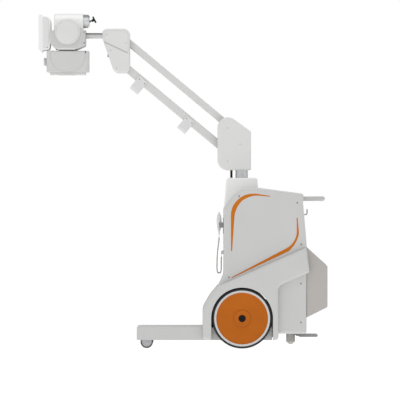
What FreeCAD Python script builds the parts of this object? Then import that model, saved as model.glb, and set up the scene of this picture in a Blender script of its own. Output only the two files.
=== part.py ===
import FreeCAD, Part
import math
import os
from types import SimpleNamespace

import Sketcher

# Mobile x-ray machine. Millimetres, +Z up, -X is the front (tube head), the
# floor is Z = 0 and the machine is symmetric about the plane Y = 0. "Left"
# pieces lie on the -Y side.

os.makedirs("parts", exist_ok=True)
doc = FreeCAD.newDocument("MobileXray")
sheet = doc.addObject("Spreadsheet::Sheet", "Sizes")

SIZES = {
    # general fits and walls
    "seat_gap": 0.3,
    "running_gap": 0.1,
    "cover_wall": 4.0,
    # rear wheels
    "wheel_radius": 180.0,
    "rim_radius": 167.0,
    "rim_inner_radius": 154.0,
    "wheel_width": 44.0,
    "wheel_outer_y": 286.0,
    "tyre_shoulder": 9.0,
    "disc_dish": 6.0,
    "disc_wall": 6.0,
    "hub_cap_radius": 50.0,
    "hub_cap_height": 5.0,
    "hub_radius": 30.0,
    "axle_radius": 15.0,
    "wheel_x": 360.0,
    # casters
    "caster_wheel_radius": 37.5,
    "caster_wheel_width": 13.0,
    "caster_web": 9.0,
    "caster_trail": 10.0,
    "caster_swivel_x": -222.0,
    "caster_plate_radius": 24.0,
    "caster_plate_height": 6.0,
    "caster_stem_radius": 6.0,
    "caster_stem_height": 22.0,
    "caster_pocket_radius": 50.5,
    "caster_pocket_top": 88.5,
    # legs
    "leg_front_x": -273.0,
    "leg_rear_x": 540.0,
    "leg_inner_y": 120.0,
    "leg_width": 110.0,
    "leg_bottom_z": 49.0,
    "leg_height": 79.0,
    "leg_nose_radius": 50.0,
    "leg_edge_radius": 6.0,
    "leg_wall": 5.0,
    # base frame
    "frame_front_x": 135.0,
    "frame_rear_x": 690.0,
    "frame_bottom_z": 90.0,
    "frame_plate": 6.0,
    "frame_side_height": 150.0,
    "cross_plate_z": 300.0,
    "bracket_front_x": 240.0,
    "bracket_rear_x": 480.0,
    "socket_wall": 8.0,
    "post_rear_x": 600.0,
    # side panels
    "panel_half_width": 240.0,
    "panel_depth": 40.0,
    "panel_front_x": 250.0,
    "panel_foot_x": 123.0,
    "panel_shoulder_z": 843.0,
    "panel_shoulder_radius": 35.0,
    "panel_peak_x": 364.0,
    "panel_peak_z": 975.4,
    "panel_peak_radius": 160.0,
    "panel_rear_top_x": 731.0,
    "panel_rear_top_z": 926.5,
    "panel_rear_low_x": 747.0,
    "panel_low_z": 87.0,
    "panel_edge_radius": 18.0,
    "fender_half_width": 285.0,
    "fender_low_z": 50.0,
    "fender_edge_radius": 20.0,
    "arch_gap": 5.0,
    "deck_drop": 30.0,
    "deck_rear_gap": 12.0,
    "screen_front_x": 505.0,
    "screen_length": 140.0,
    "screen_width": 210.0,
    "screen_height": 6.0,
    "stop_x": 675.0,
    "stop_y": -120.0,
    "stop_stem_radius": 8.0,
    "stop_head_radius": 19.0,
    # rear fittings
    "handle_z": 897.0,
    "handle_rear_x": 860.0,
    "handle_radius": 14.0,
    "handle_half_span": 165.0,
    "bin_rear_x": 873.0,
    "bin_low_z": 184.0,
    "bin_top_z": 608.0,
    "bin_half_width": 228.0,
    "hook_z": 797.0,
    "hook_strip": 7.0,
    "foot_x": 656.0,
    "foot_radius": 27.0,
    "foot_low_z": 17.0,
    "pedal_pivot_x": 701.0,
    "pedal_pivot_z": 77.0,
    "pedal_length": 118.0,
    "pedal_width": 90.0,
    "pedal_hub_radius": 9.0,
    "pedal_pin_radius": 5.0,
    "pedal_lug": 6.0,
    # hand switch
    "switch_x": 222.6,
    "switch_y": -110.0,
    "switch_z": 678.3,
    "holder_half_gap": 14.6,
    "exposure_radius": 7.0,
    "cord_radius": 5.0,
    # column and turret
    "column_radius": 38.0,
    "column_wall": 6.0,
    "column_bottom_z": 620.0,
    "column_flange_radius": 78.0,
    "column_top_reach": 16.0,
    "column_flange_height": 8.0,
    "turret_top_z": 1023.0,
    "turret_low_z": 838.0,
    "turret_edge_radius": 9.0,
    "turret_half_width": 96.0,
    "turret_rear_x": 456.0,
    "cable_radius": 7.8,
    "cable_reach": 62.0,
    # rear head of the column, carrying the two parallel bars
    "pivot_x": 278.0,
    "pivot_low_z": 1176.0,
    "pivot_rise": 165.0,
    "rear_cover_bottom_z": 1069.0,
    "rear_cover_rear_x": 416.0,
    "cover_half_width": 65.0,
    "cover_face": 5.0,
    "cover_edge_radius": 11.0,
    "clevis_inner_y": 22.5,
    "clevis_plate": 7.0,
    "pin_radius": 9.0,
    # parallel bars
    "arm_length": 862.0,
    "arm_angle": 39.8,
    "bar_width": 44.0,
    "upper_bar_height": 42.0,
    "lower_bar_height": 48.0,
    "bar_wall": 3.5,
    "bar_end_radius": 24.0,
    # cable loops on the lower bar
    "loop_width": 62.0,
    "loop_drop": 53.0,
    "loop_strip": 5.0,
    "loop_rear_distance": 304.0,
    "loop_front_distance": 677.0,
    # front head of the arm
    "shaft_radius": 17.0,
    "shaft_z": 1882.0,
    "shaft_spigot_radius": 13.0,
    "shaft_front_x": -640.0,
    "cover_front_reach": 98.0,
    "button_radius": 8.0,
    "button_rise": 34.0,
    "button_inset": 31.0,
    # tube head
    "tilt_x": -681.0,
    "tilt_z": 1888.0,
    "tilt_pin_radius": 12.0,
    "fork_half_width": 30.0,
    "fork_half_height": 17.0,
    "fork_rear_x": -592.0,
    "casting_half_width": 118.0,
    "casting_low_z": 1798.4,
    "cap_radius": 77.0,
    "cap_face_radius": 70.0,
    "cap_height": 22.0,
    "drum_radius": 88.0,
    "drum_z": 1927.5,
    "drum_flat_z": 1914.0,
    "drum_front_x": -773.0,
    "drum_rear_x": -598.0,
    "end_unit_radius": 41.0,
    "end_unit_z": 1969.0,
    "end_unit_length": 38.0,
    # collimator
    "front_plate_x": -865.0,
    "front_plate_depth": 27.0,
    "front_plate_low_z": 1778.0,
    "front_plate_top_z": 2008.0,
    "front_plate_half_width": 100.0,
    "grip_inner_y": 78.0,
    "grip_width": 16.0,
    "grip_strip": 10.0,
    "neck_x": -690.0,
    "neck_radius": 46.0,
    "collimator_top_z": 1789.0,
    "collimator_height": 129.0,
    "collimator_length": 256.0,
    "collimator_width": 190.0,
    "collimator_corner": 30.0,
    "collimator_plate": 15.0,
    "knob_z": 1724.0,
    "knob_radius": 23.0,
    "knob_length": 17.0,
    "knob_spread": 36.0,
}

for row, (name, number) in enumerate(SIZES.items(), start=1):
    sheet.set(f"A{row}", name)
    sheet.set(f"B{row}", f"{number:g}")
    sheet.setAlias(f"B{row}", name)


class Size:
    """A number kept together with the sheet expression that gives it."""

    def __init__(self, value, text=None):
        self.value = float(value)
        self.text = text or f"{value:.6f}"

    def join(self, other, sign, value):
        return Size(value, f"({self.text} {sign} {as_size(other).text})")

    def __add__(self, other):
        return self.join(other, "+", self.value + as_size(other).value)

    def __sub__(self, other):
        return self.join(other, "-", self.value - as_size(other).value)

    def __mul__(self, other):
        return self.join(other, "*", self.value * as_size(other).value)

    def __truediv__(self, other):
        return self.join(other, "/", self.value / as_size(other).value)

    def __radd__(self, other):
        return as_size(other) + self

    def __rsub__(self, other):
        return as_size(other) - self

    def __rmul__(self, other):
        return as_size(other) * self

    def __neg__(self):
        return Size(-self.value, f"(0 - {self.text})")


def as_size(number):
    return number if isinstance(number, Size) else Size(number)


def cosine(angle):
    return Size(math.cos(math.radians(angle.value)), f"cos({angle.text})")


def sine(angle):
    return Size(math.sin(math.radians(angle.value)), f"sin({angle.text})")


s = SimpleNamespace(**{name: Size(number, f"Sizes.{name}") for name, number in SIZES.items()})
SUB_PARTS = []


def bind(item, path, size):
    """Drive one property of an object from the sheet."""
    item.setExpression(path, as_size(size).text)


def new_body(label, sub_part=True):
    body = doc.addObject("PartDesign::Body", label)
    body.Label = label
    if sub_part:
        SUB_PARTS.append(body)
    return body


def sketch_on(body, plane, offset=None):
    """A sketch on one of the body's own origin planes, moved along the plane's normal."""
    sketch = body.newObject("Sketcher::SketchObject", f"{body.Name}_sketch")
    support = next(f for f in body.Origin.OriginFeatures if f.Role == f"{plane}_Plane")
    sketch.AttachmentSupport = [(support, "")]
    sketch.MapMode = "FlatFace"
    if offset is not None:
        bind(sketch, "AttachmentOffset.Base.z", offset)
    return sketch


def place_point(sketch, shape, end, u, v):
    """Fix a point of a sketch at (u, v) from the sketch origin."""
    for kind, size, axis in (("DistanceX", as_size(u), -2), ("DistanceY", as_size(v), -1)):
        if size.value == 0 and "Sizes" not in size.text:
            sketch.addConstraint(Sketcher.Constraint("PointOnObject", shape, end, axis))
            continue
        index = sketch.addConstraint(Sketcher.Constraint(kind, -1, 1, shape, end, size.value))
        bind(sketch, f"Constraints[{index}]", size)


def set_radius(sketch, shape, radius):
    index = sketch.addConstraint(Sketcher.Constraint("Radius", shape, as_size(radius).value))
    bind(sketch, f"Constraints[{index}]", radius)


def circle(sketch, u, v, radius):
    u, v, radius = as_size(u), as_size(v), as_size(radius)
    centre = FreeCAD.Vector(u.value, v.value, 0)
    ring = Part.Circle(centre, FreeCAD.Vector(0, 0, 1), radius.value)
    shape = sketch.addGeometry(ring, False)
    place_point(sketch, shape, 3, u, v)
    set_radius(sketch, shape, radius)


def outline(sketch, corners, closed=True):
    """Lines through corners (u, v) or (u, v, radius of the rounded corner)."""
    count = len(corners)
    points = [flat_point(corner) for corner in corners]
    radii = [as_size(c[2]) if len(c) > 2 else None for c in corners]
    starts, ends = {}, {}
    for i, point in enumerate(points):
        if radii[i] is None:
            starts[i] = ends[i] = point
            continue
        back = (points[i - 1] - point).normalize()
        ahead = (points[(i + 1) % count] - point).normalize()
        reach = radii[i].value / math.tan(back.getAngle(ahead) / 2)
        ends[i] = point + back * reach
        starts[i] = point + ahead * reach
    lines = []
    for i in range(count if closed else count - 1):
        line = Part.LineSegment(starts[i], ends[(i + 1) % count])
        lines.append(sketch.addGeometry(line, False))
    if not closed:
        place_point(sketch, lines[0], 1, corners[0][0], corners[0][1])
        place_point(sketch, lines[-1], 2, corners[-1][0], corners[-1][1])
    for i in range(count) if closed else range(1, count - 1):
        corner = corners[i]
        before, after = lines[i - 1], lines[i]
        if radii[i] is None:
            sketch.addConstraint(Sketcher.Constraint("Coincident", before, 2, after, 1))
            place_point(sketch, after, 1, corner[0], corner[1])
            continue
        round_corner(sketch, points[i], ends[i], starts[i], before, after, corner)


def flat_point(corner):
    return FreeCAD.Vector(as_size(corner[0]).value, as_size(corner[1]).value, 0)


def parallel(corners, distance, closed=True):
    """The corners of a line drawn parallel to an outline, to its left for a positive distance."""
    count = len(corners)
    points = [flat_point(corner) for corner in corners]
    moved = []
    for i, corner in enumerate(corners):
        before = points[i] - points[i - 1]
        after = points[(i + 1) % count] - points[i]
        if not closed and i == 0:
            before = after
        if not closed and i == count - 1:
            after = before
        before.normalize()
        after.normalize()
        left = FreeCAD.Vector(-before.y - after.y, before.x + after.x, 0)
        shift = left * (1 / (1 + before.dot(after)))
        place = (corner[0] + distance * shift.x, corner[1] + distance * shift.y)
        if len(corner) > 2:
            turn = before.x * after.y - before.y * after.x
            radius = as_size(corner[2] - distance if turn > 0 else corner[2] + distance)
            if radius.value > 0.5:
                place += (radius,)
        moved.append(place)
    return moved


def inset(corners, wall):
    """A closed outline moved inwards by a wall."""
    points = [flat_point(corner) for corner in corners]
    area = sum(points[i - 1].x * p.y - points[i - 1].y * p.x for i, p in enumerate(points))
    return parallel(corners, wall if area > 0 else -wall)


def strip(corners, wall):
    """The closed outline of a sheet that follows an open line, with its wall to the right."""
    return list(corners) + parallel(corners, -wall, closed=False)[::-1]


def round_corner(sketch, point, first, last, before, after, corner):
    """A tangent arc between two lines, with its sharp corner kept as a fixed point."""
    radius = as_size(corner[2])
    middle = (first + last) * 0.5
    inward = (middle - point).normalize()
    half = (first - point).getAngle(inward)
    centre = point + inward * (radius.value / math.sin(half))
    top = centre - inward * radius.value
    arc = sketch.addGeometry(Part.Arc(first, top, last), False)
    held = sketch.getPoint(arc, 1)
    begin, finish = (1, 2) if (held - first).Length < (held - last).Length else (2, 1)
    sketch.addConstraint(Sketcher.Constraint("Tangent", before, 2, arc, begin))
    sketch.addConstraint(Sketcher.Constraint("Tangent", after, 1, arc, finish))
    set_radius(sketch, arc, radius)
    sharp = sketch.addGeometry(Part.Point(point), True)
    place_point(sketch, sharp, 1, corner[0], corner[1])
    sketch.addConstraint(Sketcher.Constraint("PointOnObject", sharp, 1, before))
    sketch.addConstraint(Sketcher.Constraint("PointOnObject", sharp, 1, after))


def box_corners(u0, v0, u1, v1, radius=None):
    corners = [(u0, v0), (u1, v0), (u1, v1), (u0, v1)]
    return corners if radius is None else [corner + (radius,) for corner in corners]


def pad(body, sketch, length, symmetric=False, back=False):
    feature = body.newObject("PartDesign::Pad", f"{body.Name}_pad")
    feature.Profile = sketch
    feature.SideType = "Symmetric" if symmetric else "One side"
    feature.Reversed = back
    bind(feature, "Length", length)
    return feature


def pocket(body, sketch, length=None, symmetric=False, back=False):
    """Cut along the sketch normal's far side; back cuts along the normal."""
    feature = body.newObject("PartDesign::Pocket", f"{body.Name}_pocket")
    feature.Profile = sketch
    feature.SideType = "Symmetric" if symmetric else "One side"
    feature.Reversed = back
    if length is None:
        feature.Type = "ThroughAll"
    else:
        bind(feature, "Length", length)
    return feature


def revolve(body, sketch, axis="V_Axis", kind="PartDesign::Revolution"):
    feature = body.newObject(kind, f"{body.Name}_turn")
    feature.Profile = sketch
    feature.ReferenceAxis = (sketch, [axis])
    feature.Angle = 360
    return feature


def fillet(body, radius, wanted, kind="PartDesign::Fillet"):
    """Round (or chamfer) the edges of the body's tip that the test picks."""
    doc.recompute()
    base = body.Tip
    names = [f"Edge{i}" for i, edge in enumerate(base.Shape.Edges, start=1) if wanted(edge)]
    feature = body.newObject(kind, f"{body.Name}_edge")
    feature.Base = (base, names)
    bind(feature, "Size" if kind.endswith("Chamfer") else "Radius", radius)
    return feature


def mirrored(source, label):
    """The right-hand twin of a left-hand piece."""
    twin = doc.addObject("Part::Mirroring", label)
    twin.Label = label
    twin.Source = source
    twin.Normal = FreeCAD.Vector(0, 1, 0)
    SUB_PARTS.append(twin)
    return twin


def all_points(edge, test):
    """Does every one of three points along the edge pass the test?"""
    first, last = edge.FirstParameter, edge.LastParameter
    return all(test(edge.valueAt(first + (last - first) * share)) for share in (0, 0.5, 1))


def near(number, size, slack=0.01):
    return abs(number - as_size(size).value) < slack


# Wheels. The wheel turns about Y, so each profile lies in the XY plane of a body
# whose origin stands at the axle, and is turned about that body's own Y axis.


def at_axle(body):
    bind(body, "Placement.Base.x", s.wheel_x)
    bind(body, "Placement.Base.z", s.wheel_radius)


def make_tyre():
    tyre = new_body("tyre_left")
    at_axle(tyre)
    outer, inner = -s.wheel_outer_y, -(s.wheel_outer_y - s.wheel_width)
    sketch = sketch_on(tyre, "XY")
    outline(sketch, [
        (s.rim_radius, outer + 3),
        (s.wheel_radius - s.tyre_shoulder / 2, outer + 1, 4),
        (s.wheel_radius, outer + s.tyre_shoulder, 7),
        (s.wheel_radius, inner - s.tyre_shoulder, 7),
        (s.wheel_radius - s.tyre_shoulder / 2, inner - 1, 4),
        (s.rim_radius, inner - 3),
    ])
    revolve(tyre, sketch)
    return tyre


def make_wheel_disc():
    """Cast wheel: bright rim ring, dished disc and a hub sleeve round the axle."""
    disc = new_body("wheel_disc_left")
    at_axle(disc)
    outer, inner = -s.wheel_outer_y, -(s.wheel_outer_y - s.wheel_width)
    ring = outer + 1.5
    bore = s.axle_radius + s.running_gap
    sketch = sketch_on(disc, "XY")
    outline(sketch, [
        (s.rim_inner_radius - 8, outer + s.disc_dish, 6),
        (s.rim_inner_radius, ring, 3),
        (s.rim_radius, ring),
        (s.rim_radius, inner - 3),
        (s.rim_inner_radius, inner - 3, 2),
        (s.rim_inner_radius, outer + s.disc_dish + s.disc_wall, 6),
        (s.hub_radius, outer + s.disc_dish + s.disc_wall, 6),
        (s.hub_radius, inner),
        (bore, inner),
        (bore, outer + s.disc_dish),
    ])
    revolve(disc, sketch)
    return disc


def make_hub_cap():
    """Raised round cap over the hub, with a small round boss in its centre."""
    cap = new_body("hub_cap_left")
    at_axle(cap)
    seat = -s.wheel_outer_y + s.disc_dish
    face = seat - s.hub_cap_height
    sketch = sketch_on(cap, "XY")
    outline(sketch, [
        (0, seat),
        (s.hub_cap_radius, seat),
        (s.hub_cap_radius, face, 2),
        (22, face, 1),
        (21, face - 2.5, 1),
        (0, face - 2.5),
    ])
    revolve(cap, sketch)
    return cap


def make_axle():
    """One fixed axle through the base frame, carrying both rear wheels."""
    axle = new_body("axle")
    at_axle(axle)
    seat = s.wheel_outer_y - s.disc_dish - s.seat_gap
    sketch = sketch_on(axle, "XY")
    outline(sketch, [
        (0, -seat),
        (s.axle_radius - 1.5, -seat),
        (s.axle_radius, -seat + 1.5),
        (s.axle_radius, -(s.wheel_outer_y - s.wheel_width - s.seat_gap)),
        (s.axle_radius + 7, -(s.wheel_outer_y - s.wheel_width - s.seat_gap)),
        (s.axle_radius + 7, -(s.leg_inner_y + s.seat_gap)),
        (s.axle_radius, -(s.leg_inner_y + s.seat_gap)),
        (s.axle_radius, s.leg_inner_y + s.seat_gap),
        (s.axle_radius + 7, s.leg_inner_y + s.seat_gap),
        (s.axle_radius + 7, s.wheel_outer_y - s.wheel_width - s.seat_gap),
        (s.axle_radius, s.wheel_outer_y - s.wheel_width - s.seat_gap),
        (s.axle_radius, seat - 1.5),
        (s.axle_radius - 1.5, seat),
        (0, seat),
    ])
    revolve(axle, sketch)


# Casters, one under the nose of each leg.


def leg_middle_y():
    return -(s.leg_inner_y + s.leg_width / 2)


def make_caster_fork():
    """Hood disc with a stem above it and one web between the twin wheels."""
    fork = new_body("caster_fork_left")
    bind(fork, "Placement.Base.x", s.caster_swivel_x)
    bind(fork, "Placement.Base.y", leg_middle_y())
    plate_top = s.caster_pocket_top - s.seat_gap
    plate_low = plate_top - s.caster_plate_height
    sketch = sketch_on(fork, "XZ")
    outline(sketch, [
        (0, plate_low),
        (s.caster_plate_radius, plate_low),
        (s.caster_plate_radius, plate_top, 2),
        (s.caster_stem_radius, plate_top),
        (s.caster_stem_radius, plate_top + s.caster_stem_height),
        (0, plate_top + s.caster_stem_height),
    ])
    revolve(fork, sketch)
    web = sketch_on(fork, "XZ")
    outline(web, [
        (-20, plate_low + 1),
        (-20, plate_low - 8),
        (s.caster_trail - 14, s.caster_wheel_radius - 13, 12),
        (s.caster_trail + 14, s.caster_wheel_radius - 13, 12),
        (22, plate_low - 8),
        (22, plate_low + 1),
    ])
    pad(fork, web, s.caster_web, symmetric=True)
    bore = sketch_on(fork, "XZ")
    circle(bore, s.caster_trail, s.caster_wheel_radius, 5 + s.running_gap)
    pocket(fork, bore, s.caster_web * 2, symmetric=True)
    return fork


def make_caster_wheel():
    """Twin treads joined by one axle, with a dished hub face on the outside."""
    wheel = new_body("caster_wheel_left")
    bind(wheel, "Placement.Base.x", s.caster_swivel_x + s.caster_trail)
    bind(wheel, "Placement.Base.y", leg_middle_y())
    bind(wheel, "Placement.Base.z", s.caster_wheel_radius)
    inside = s.caster_web / 2 + s.seat_gap
    outside = inside + s.caster_wheel_width
    rim = s.caster_wheel_radius - 7
    sketch = sketch_on(wheel, "XY")
    corners = [(0, -outside + 2), (14, -outside + 2), (14, -outside + 5), (rim - 2, -outside + 5), (rim, -outside + 1)]
    corners += [(s.caster_wheel_radius, -outside + 1, 4), (s.caster_wheel_radius, -inside, 3), (5, -inside)]
    corners += [(5, inside), (s.caster_wheel_radius, inside, 3), (s.caster_wheel_radius, outside - 1, 4)]
    corners += [(rim, outside - 1), (rim - 2, outside - 5), (14, outside - 5), (14, outside - 2), (0, outside - 2)]
    outline(sketch, corners)
    revolve(wheel, sketch)
    return wheel


def make_leg():
    """Hollow beam with a rounded nose, open below, with the caster's round pocket."""
    leg = new_body("leg_left")
    outer_y = -(s.leg_inner_y + s.leg_width)
    inner_y = -s.leg_inner_y
    top_z = s.leg_bottom_z + s.leg_height
    sketch = sketch_on(leg, "XY", s.leg_bottom_z)
    outline(sketch, [
        (s.leg_front_x, outer_y, s.leg_nose_radius),
        (s.leg_rear_x, outer_y),
        (s.leg_rear_x, inner_y),
        (s.leg_front_x, inner_y, s.leg_nose_radius),
    ])
    pad(leg, sketch, s.leg_height)
    fillet(leg, s.leg_edge_radius, lambda edge: all_points(edge, lambda p: near(p.z, top_z) and p.x < s.leg_rear_x.value - 1))
    channel = sketch_on(leg, "XY", s.leg_bottom_z)
    channel_front = s.caster_swivel_x + s.caster_pocket_radius + s.leg_wall
    outline(channel, box_corners(
        channel_front, outer_y + s.leg_wall, s.leg_rear_x - s.leg_wall, inner_y - s.leg_wall, 4,
    ))
    pocket(leg, channel, s.leg_height - s.leg_wall, back=True)
    well = sketch_on(leg, "XY", s.leg_bottom_z)
    circle(well, s.caster_swivel_x, leg_middle_y(), s.caster_pocket_radius)
    pocket(leg, well, s.caster_pocket_top - s.leg_bottom_z, back=True)
    stem = sketch_on(leg, "XY", s.caster_pocket_top)
    circle(stem, s.caster_swivel_x, leg_middle_y(), s.caster_stem_radius + s.running_gap)
    pocket(leg, stem, s.caster_stem_height + 1, back=True)
    return leg


def socket_top():
    """Top of the column socket, just under the column's flange."""
    return s.turret_top_z - 2 - s.column_flange_height - s.seat_gap


def make_base_frame():
    """Welded tray between the legs with two axle plates, a cross plate and the column socket."""
    frame = new_body("base_frame")
    half = s.leg_inner_y
    tray = sketch_on(frame, "XY", s.frame_bottom_z)
    outline(tray, box_corners(s.frame_front_x, -half, s.frame_rear_x, half))
    pad(frame, tray, s.frame_plate)
    side_top = s.frame_bottom_z + s.frame_side_height
    for side in (-1, 1):
        plate = sketch_on(frame, "XZ", half if side < 0 else s.frame_plate - half)
        outline(plate, [
            (s.frame_front_x, s.frame_bottom_z),
            (s.frame_rear_x, s.frame_bottom_z),
            (s.frame_rear_x, side_top - 90, 20),
            (s.post_rear_x, side_top, 20),
            (s.bracket_rear_x, s.cross_plate_z, 10),
            (s.bracket_front_x, s.cross_plate_z, 10),
            (s.frame_front_x, side_top - 90, 20),
        ])
        pad(frame, plate, s.frame_plate, back=True)
    deck = sketch_on(frame, "XY", s.cross_plate_z)
    outline(deck, box_corners(s.bracket_front_x, -half, s.bracket_rear_x, half, 8))
    pad(frame, deck, s.frame_plate)
    socket = sketch_on(frame, "XY", s.cross_plate_z)
    circle(socket, s.wheel_x, 0, s.column_radius + s.socket_wall)
    pad(frame, socket, socket_top() - s.cross_plate_z)
    bore = sketch_on(frame, "XY", socket_top())
    circle(bore, s.wheel_x, 0, s.column_radius + s.running_gap)
    pocket(frame, bore, socket_top() - s.column_bottom_z + s.seat_gap)
    axle = sketch_on(frame, "XZ")
    circle(axle, s.wheel_x, s.wheel_radius, s.axle_radius)
    pocket(frame, axle, half * 3, symmetric=True)
    make_pedal_lugs(frame)


def make_pedal_lugs(frame):
    """Two ears under the rear end of the tray, bored for the pedal's cross pin."""
    x, z = s.pedal_pivot_x, s.pedal_pivot_z
    low = z - s.pedal_hub_radius
    for side in (-1, 1):
        start = s.pedal_width / 2 + s.seat_gap
        if side > 0:
            start = -(start + s.pedal_lug)
        lug = sketch_on(frame, "XZ", start)
        outline(lug, [
            (x - 40, s.frame_bottom_z + 1),
            (x - 9, low, 8),
            (x + 9, low, 8),
            (x + 9, z + 9, 8),
            (s.frame_rear_x, s.frame_bottom_z + s.frame_plate),
            (s.frame_rear_x - 20, s.frame_bottom_z + s.frame_plate),
        ])
        pad(frame, lug, s.pedal_lug)
    bore = sketch_on(frame, "XZ")
    circle(bore, x, z, s.pedal_pin_radius + s.running_gap)
    pocket(frame, bore, s.pedal_width * 2, symmetric=True)


# Body covers.


def top_line_z(x):
    """Height of the side panels' sloping top edge above a point of the floor."""
    fall = (s.panel_peak_z - s.panel_rear_top_z) / (s.panel_rear_top_x - s.panel_peak_x)
    return s.panel_peak_z - fall * (x - s.panel_peak_x)


def front_edge(inset_by=0):
    """The curved front edge of the body, from the foot up to its straight part."""
    return [
        (s.panel_foot_x + inset_by, 240, 90),
        (s.panel_foot_x + 47 + inset_by, 320, 90),
        (s.panel_front_x - 32 + inset_by, 372, 70),
        (s.panel_front_x + inset_by, 440, 110),
    ]


def make_side_panel():
    """Moulded side cover: a flat upper part and a fender that stands out round the wheel."""
    panel = new_body("side_panel_left")
    foot, low = s.panel_foot_x, s.panel_low_z
    floor = s.leg_bottom_z + s.leg_height + 12
    inner_y = s.panel_half_width - s.panel_depth
    upper_corners = [
        (foot, floor),
        *front_edge(),
        (s.panel_front_x, s.panel_shoulder_z, s.panel_shoulder_radius),
        (s.panel_peak_x, s.panel_peak_z, s.panel_peak_radius),
        (s.panel_rear_top_x, s.panel_rear_top_z, 20),
        (s.panel_rear_top_x - 5, s.panel_rear_top_z - 56, 60),
        (s.panel_rear_low_x + 2, 609, 60),
        (s.panel_rear_low_x, low, 15),
        (s.leg_rear_x + 20, low),
        (s.leg_rear_x + 20, floor),
    ]
    upper = sketch_on(panel, "XZ", inner_y)
    outline(upper, upper_corners)
    pad(panel, upper, s.panel_depth)
    cavity = sketch_on(panel, "XZ", inner_y)
    outline(cavity, inset(upper_corners, s.cover_wall))
    pocket(panel, cavity, s.panel_depth - s.cover_wall, back=True)

    def round_edge(radius, distance, lowest):
        fillet(panel, radius, lambda edge: all_points(
            edge, lambda p: near(-p.y, distance) and p.z > lowest,
        ))

    round_edge(s.panel_edge_radius - s.cover_wall, s.panel_half_width - s.cover_wall, 450)
    round_edge(s.panel_edge_radius, s.panel_half_width, 450)

    inner = s.leg_inner_y + s.leg_width + 1
    fender_corners = [
        (foot, s.fender_low_z, 26),
        *front_edge()[:2],
        (s.panel_front_x - 34, 374, 12),
        (s.panel_rear_low_x - 1, 607, 10),
        (s.panel_rear_low_x + 18, 455, 14),
        (578, 374, 42),
        (578, s.fender_low_z, 20),
    ]
    fender = sketch_on(panel, "XZ", inner)
    outline(fender, fender_corners)
    pad(panel, fender, s.fender_half_width - inner)
    hollow = sketch_on(panel, "XZ", inner)
    outline(hollow, inset(fender_corners, s.cover_wall))
    pocket(panel, hollow, s.fender_half_width - inner - s.cover_wall, back=True)
    round_edge(s.fender_edge_radius - s.cover_wall, s.fender_half_width - s.cover_wall, 40)
    round_edge(s.fender_edge_radius, s.fender_half_width, 40)

    reach = s.wheel_radius + s.arch_gap
    lip = sketch_on(panel, "XZ", inner)
    outline(lip, arch_corners(reach + s.cover_wall, s.fender_low_z))
    pad(panel, lip, s.fender_half_width - inner)
    opening = sketch_on(panel, "XZ")
    outline(opening, arch_corners(reach, 0))
    pocket(panel, opening, back=True)
    return panel


def arch_corners(radius, bottom):
    """Half round over the wheel, with straight sides down to the bottom."""
    spring = s.wheel_radius + radius
    return [
        (s.wheel_x - radius, bottom),
        (s.wheel_x + radius, bottom),
        (s.wheel_x + radius, spring, radius - 0.05),
        (s.wheel_x - radius, spring, radius - 0.05),
    ]


def make_front_cover():
    """Curved sheet between the side panels, up the front and over the top arc."""
    cover = new_body("front_cover")
    half = s.panel_half_width - s.panel_depth - s.seat_gap
    lip = 1.5
    end_x = s.turret_rear_x + 14
    line = [
        (s.panel_foot_x + lip, s.leg_bottom_z + 12),
        *front_edge(lip),
        (s.panel_front_x + lip, s.panel_shoulder_z, s.panel_shoulder_radius),
        (s.panel_peak_x, s.panel_peak_z - lip, s.panel_peak_radius),
        (end_x, top_line_z(end_x) - lip),
        (end_x, top_line_z(end_x) - s.deck_drop - 2),
    ]
    sheet_line = sketch_on(cover, "XZ")
    outline(sheet_line, strip(line, s.cover_wall))
    pad(cover, sheet_line, half * 2, symmetric=True)
    leg_top = s.leg_bottom_z + s.leg_height + s.seat_gap
    for side in (-1, 1):
        notch = sketch_on(cover, "YZ")
        inner, outer = s.leg_inner_y - s.seat_gap, s.leg_inner_y + s.leg_width
        outline(notch, box_corners(side * inner, 0, side * outer, leg_top))
        pocket(cover, notch, s.panel_front_x, back=True)
    gap = s.turret_half_width + s.seat_gap
    opening = sketch_on(cover, "XY", s.turret_low_z - s.seat_gap)
    outline(opening, box_corners(s.panel_front_x - 20, -gap, end_x + 20, gap))
    pocket(cover, opening, back=True)


def make_top_deck():
    """Sloping console deck, sunk between the side panels."""
    deck = new_body("top_deck")
    half = s.panel_half_width - s.panel_depth - s.seat_gap
    front, rear = s.turret_rear_x + 14 + s.seat_gap, deck_rear_x()
    top = sketch_on(deck, "XZ")
    outline(top, [
        (front, deck_z(front)),
        (rear, deck_z(rear)),
        (rear, deck_z(rear) - s.cover_wall),
        (front, deck_z(front) - s.cover_wall),
    ])
    pad(deck, top, half * 2, symmetric=True)
    stop = sketch_on(deck, "XY", deck_z(s.stop_x) - 40)
    circle(stop, s.stop_x, s.stop_y, s.stop_stem_radius + s.seat_gap)
    pocket(deck, stop, 80, back=True)


def deck_rear_x():
    """The deck stops just ahead of the push handle's ends."""
    return s.panel_rear_top_x - s.deck_rear_gap


def deck_z(x):
    return top_line_z(x) - s.deck_drop


def make_screen():
    """Flat touch screen lying on the console deck."""
    screen = new_body("console_screen")
    front = s.screen_front_x
    rear = front + s.screen_length
    rise = s.seat_gap
    side = sketch_on(screen, "XZ")
    outline(side, [
        (front, deck_z(front) + rise),
        (rear, deck_z(rear) + rise),
        (rear, deck_z(rear) + rise + s.screen_height, 2),
        (front, deck_z(front) + rise + s.screen_height, 2),
    ])
    pad(screen, side, s.screen_width, symmetric=True)


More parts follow.
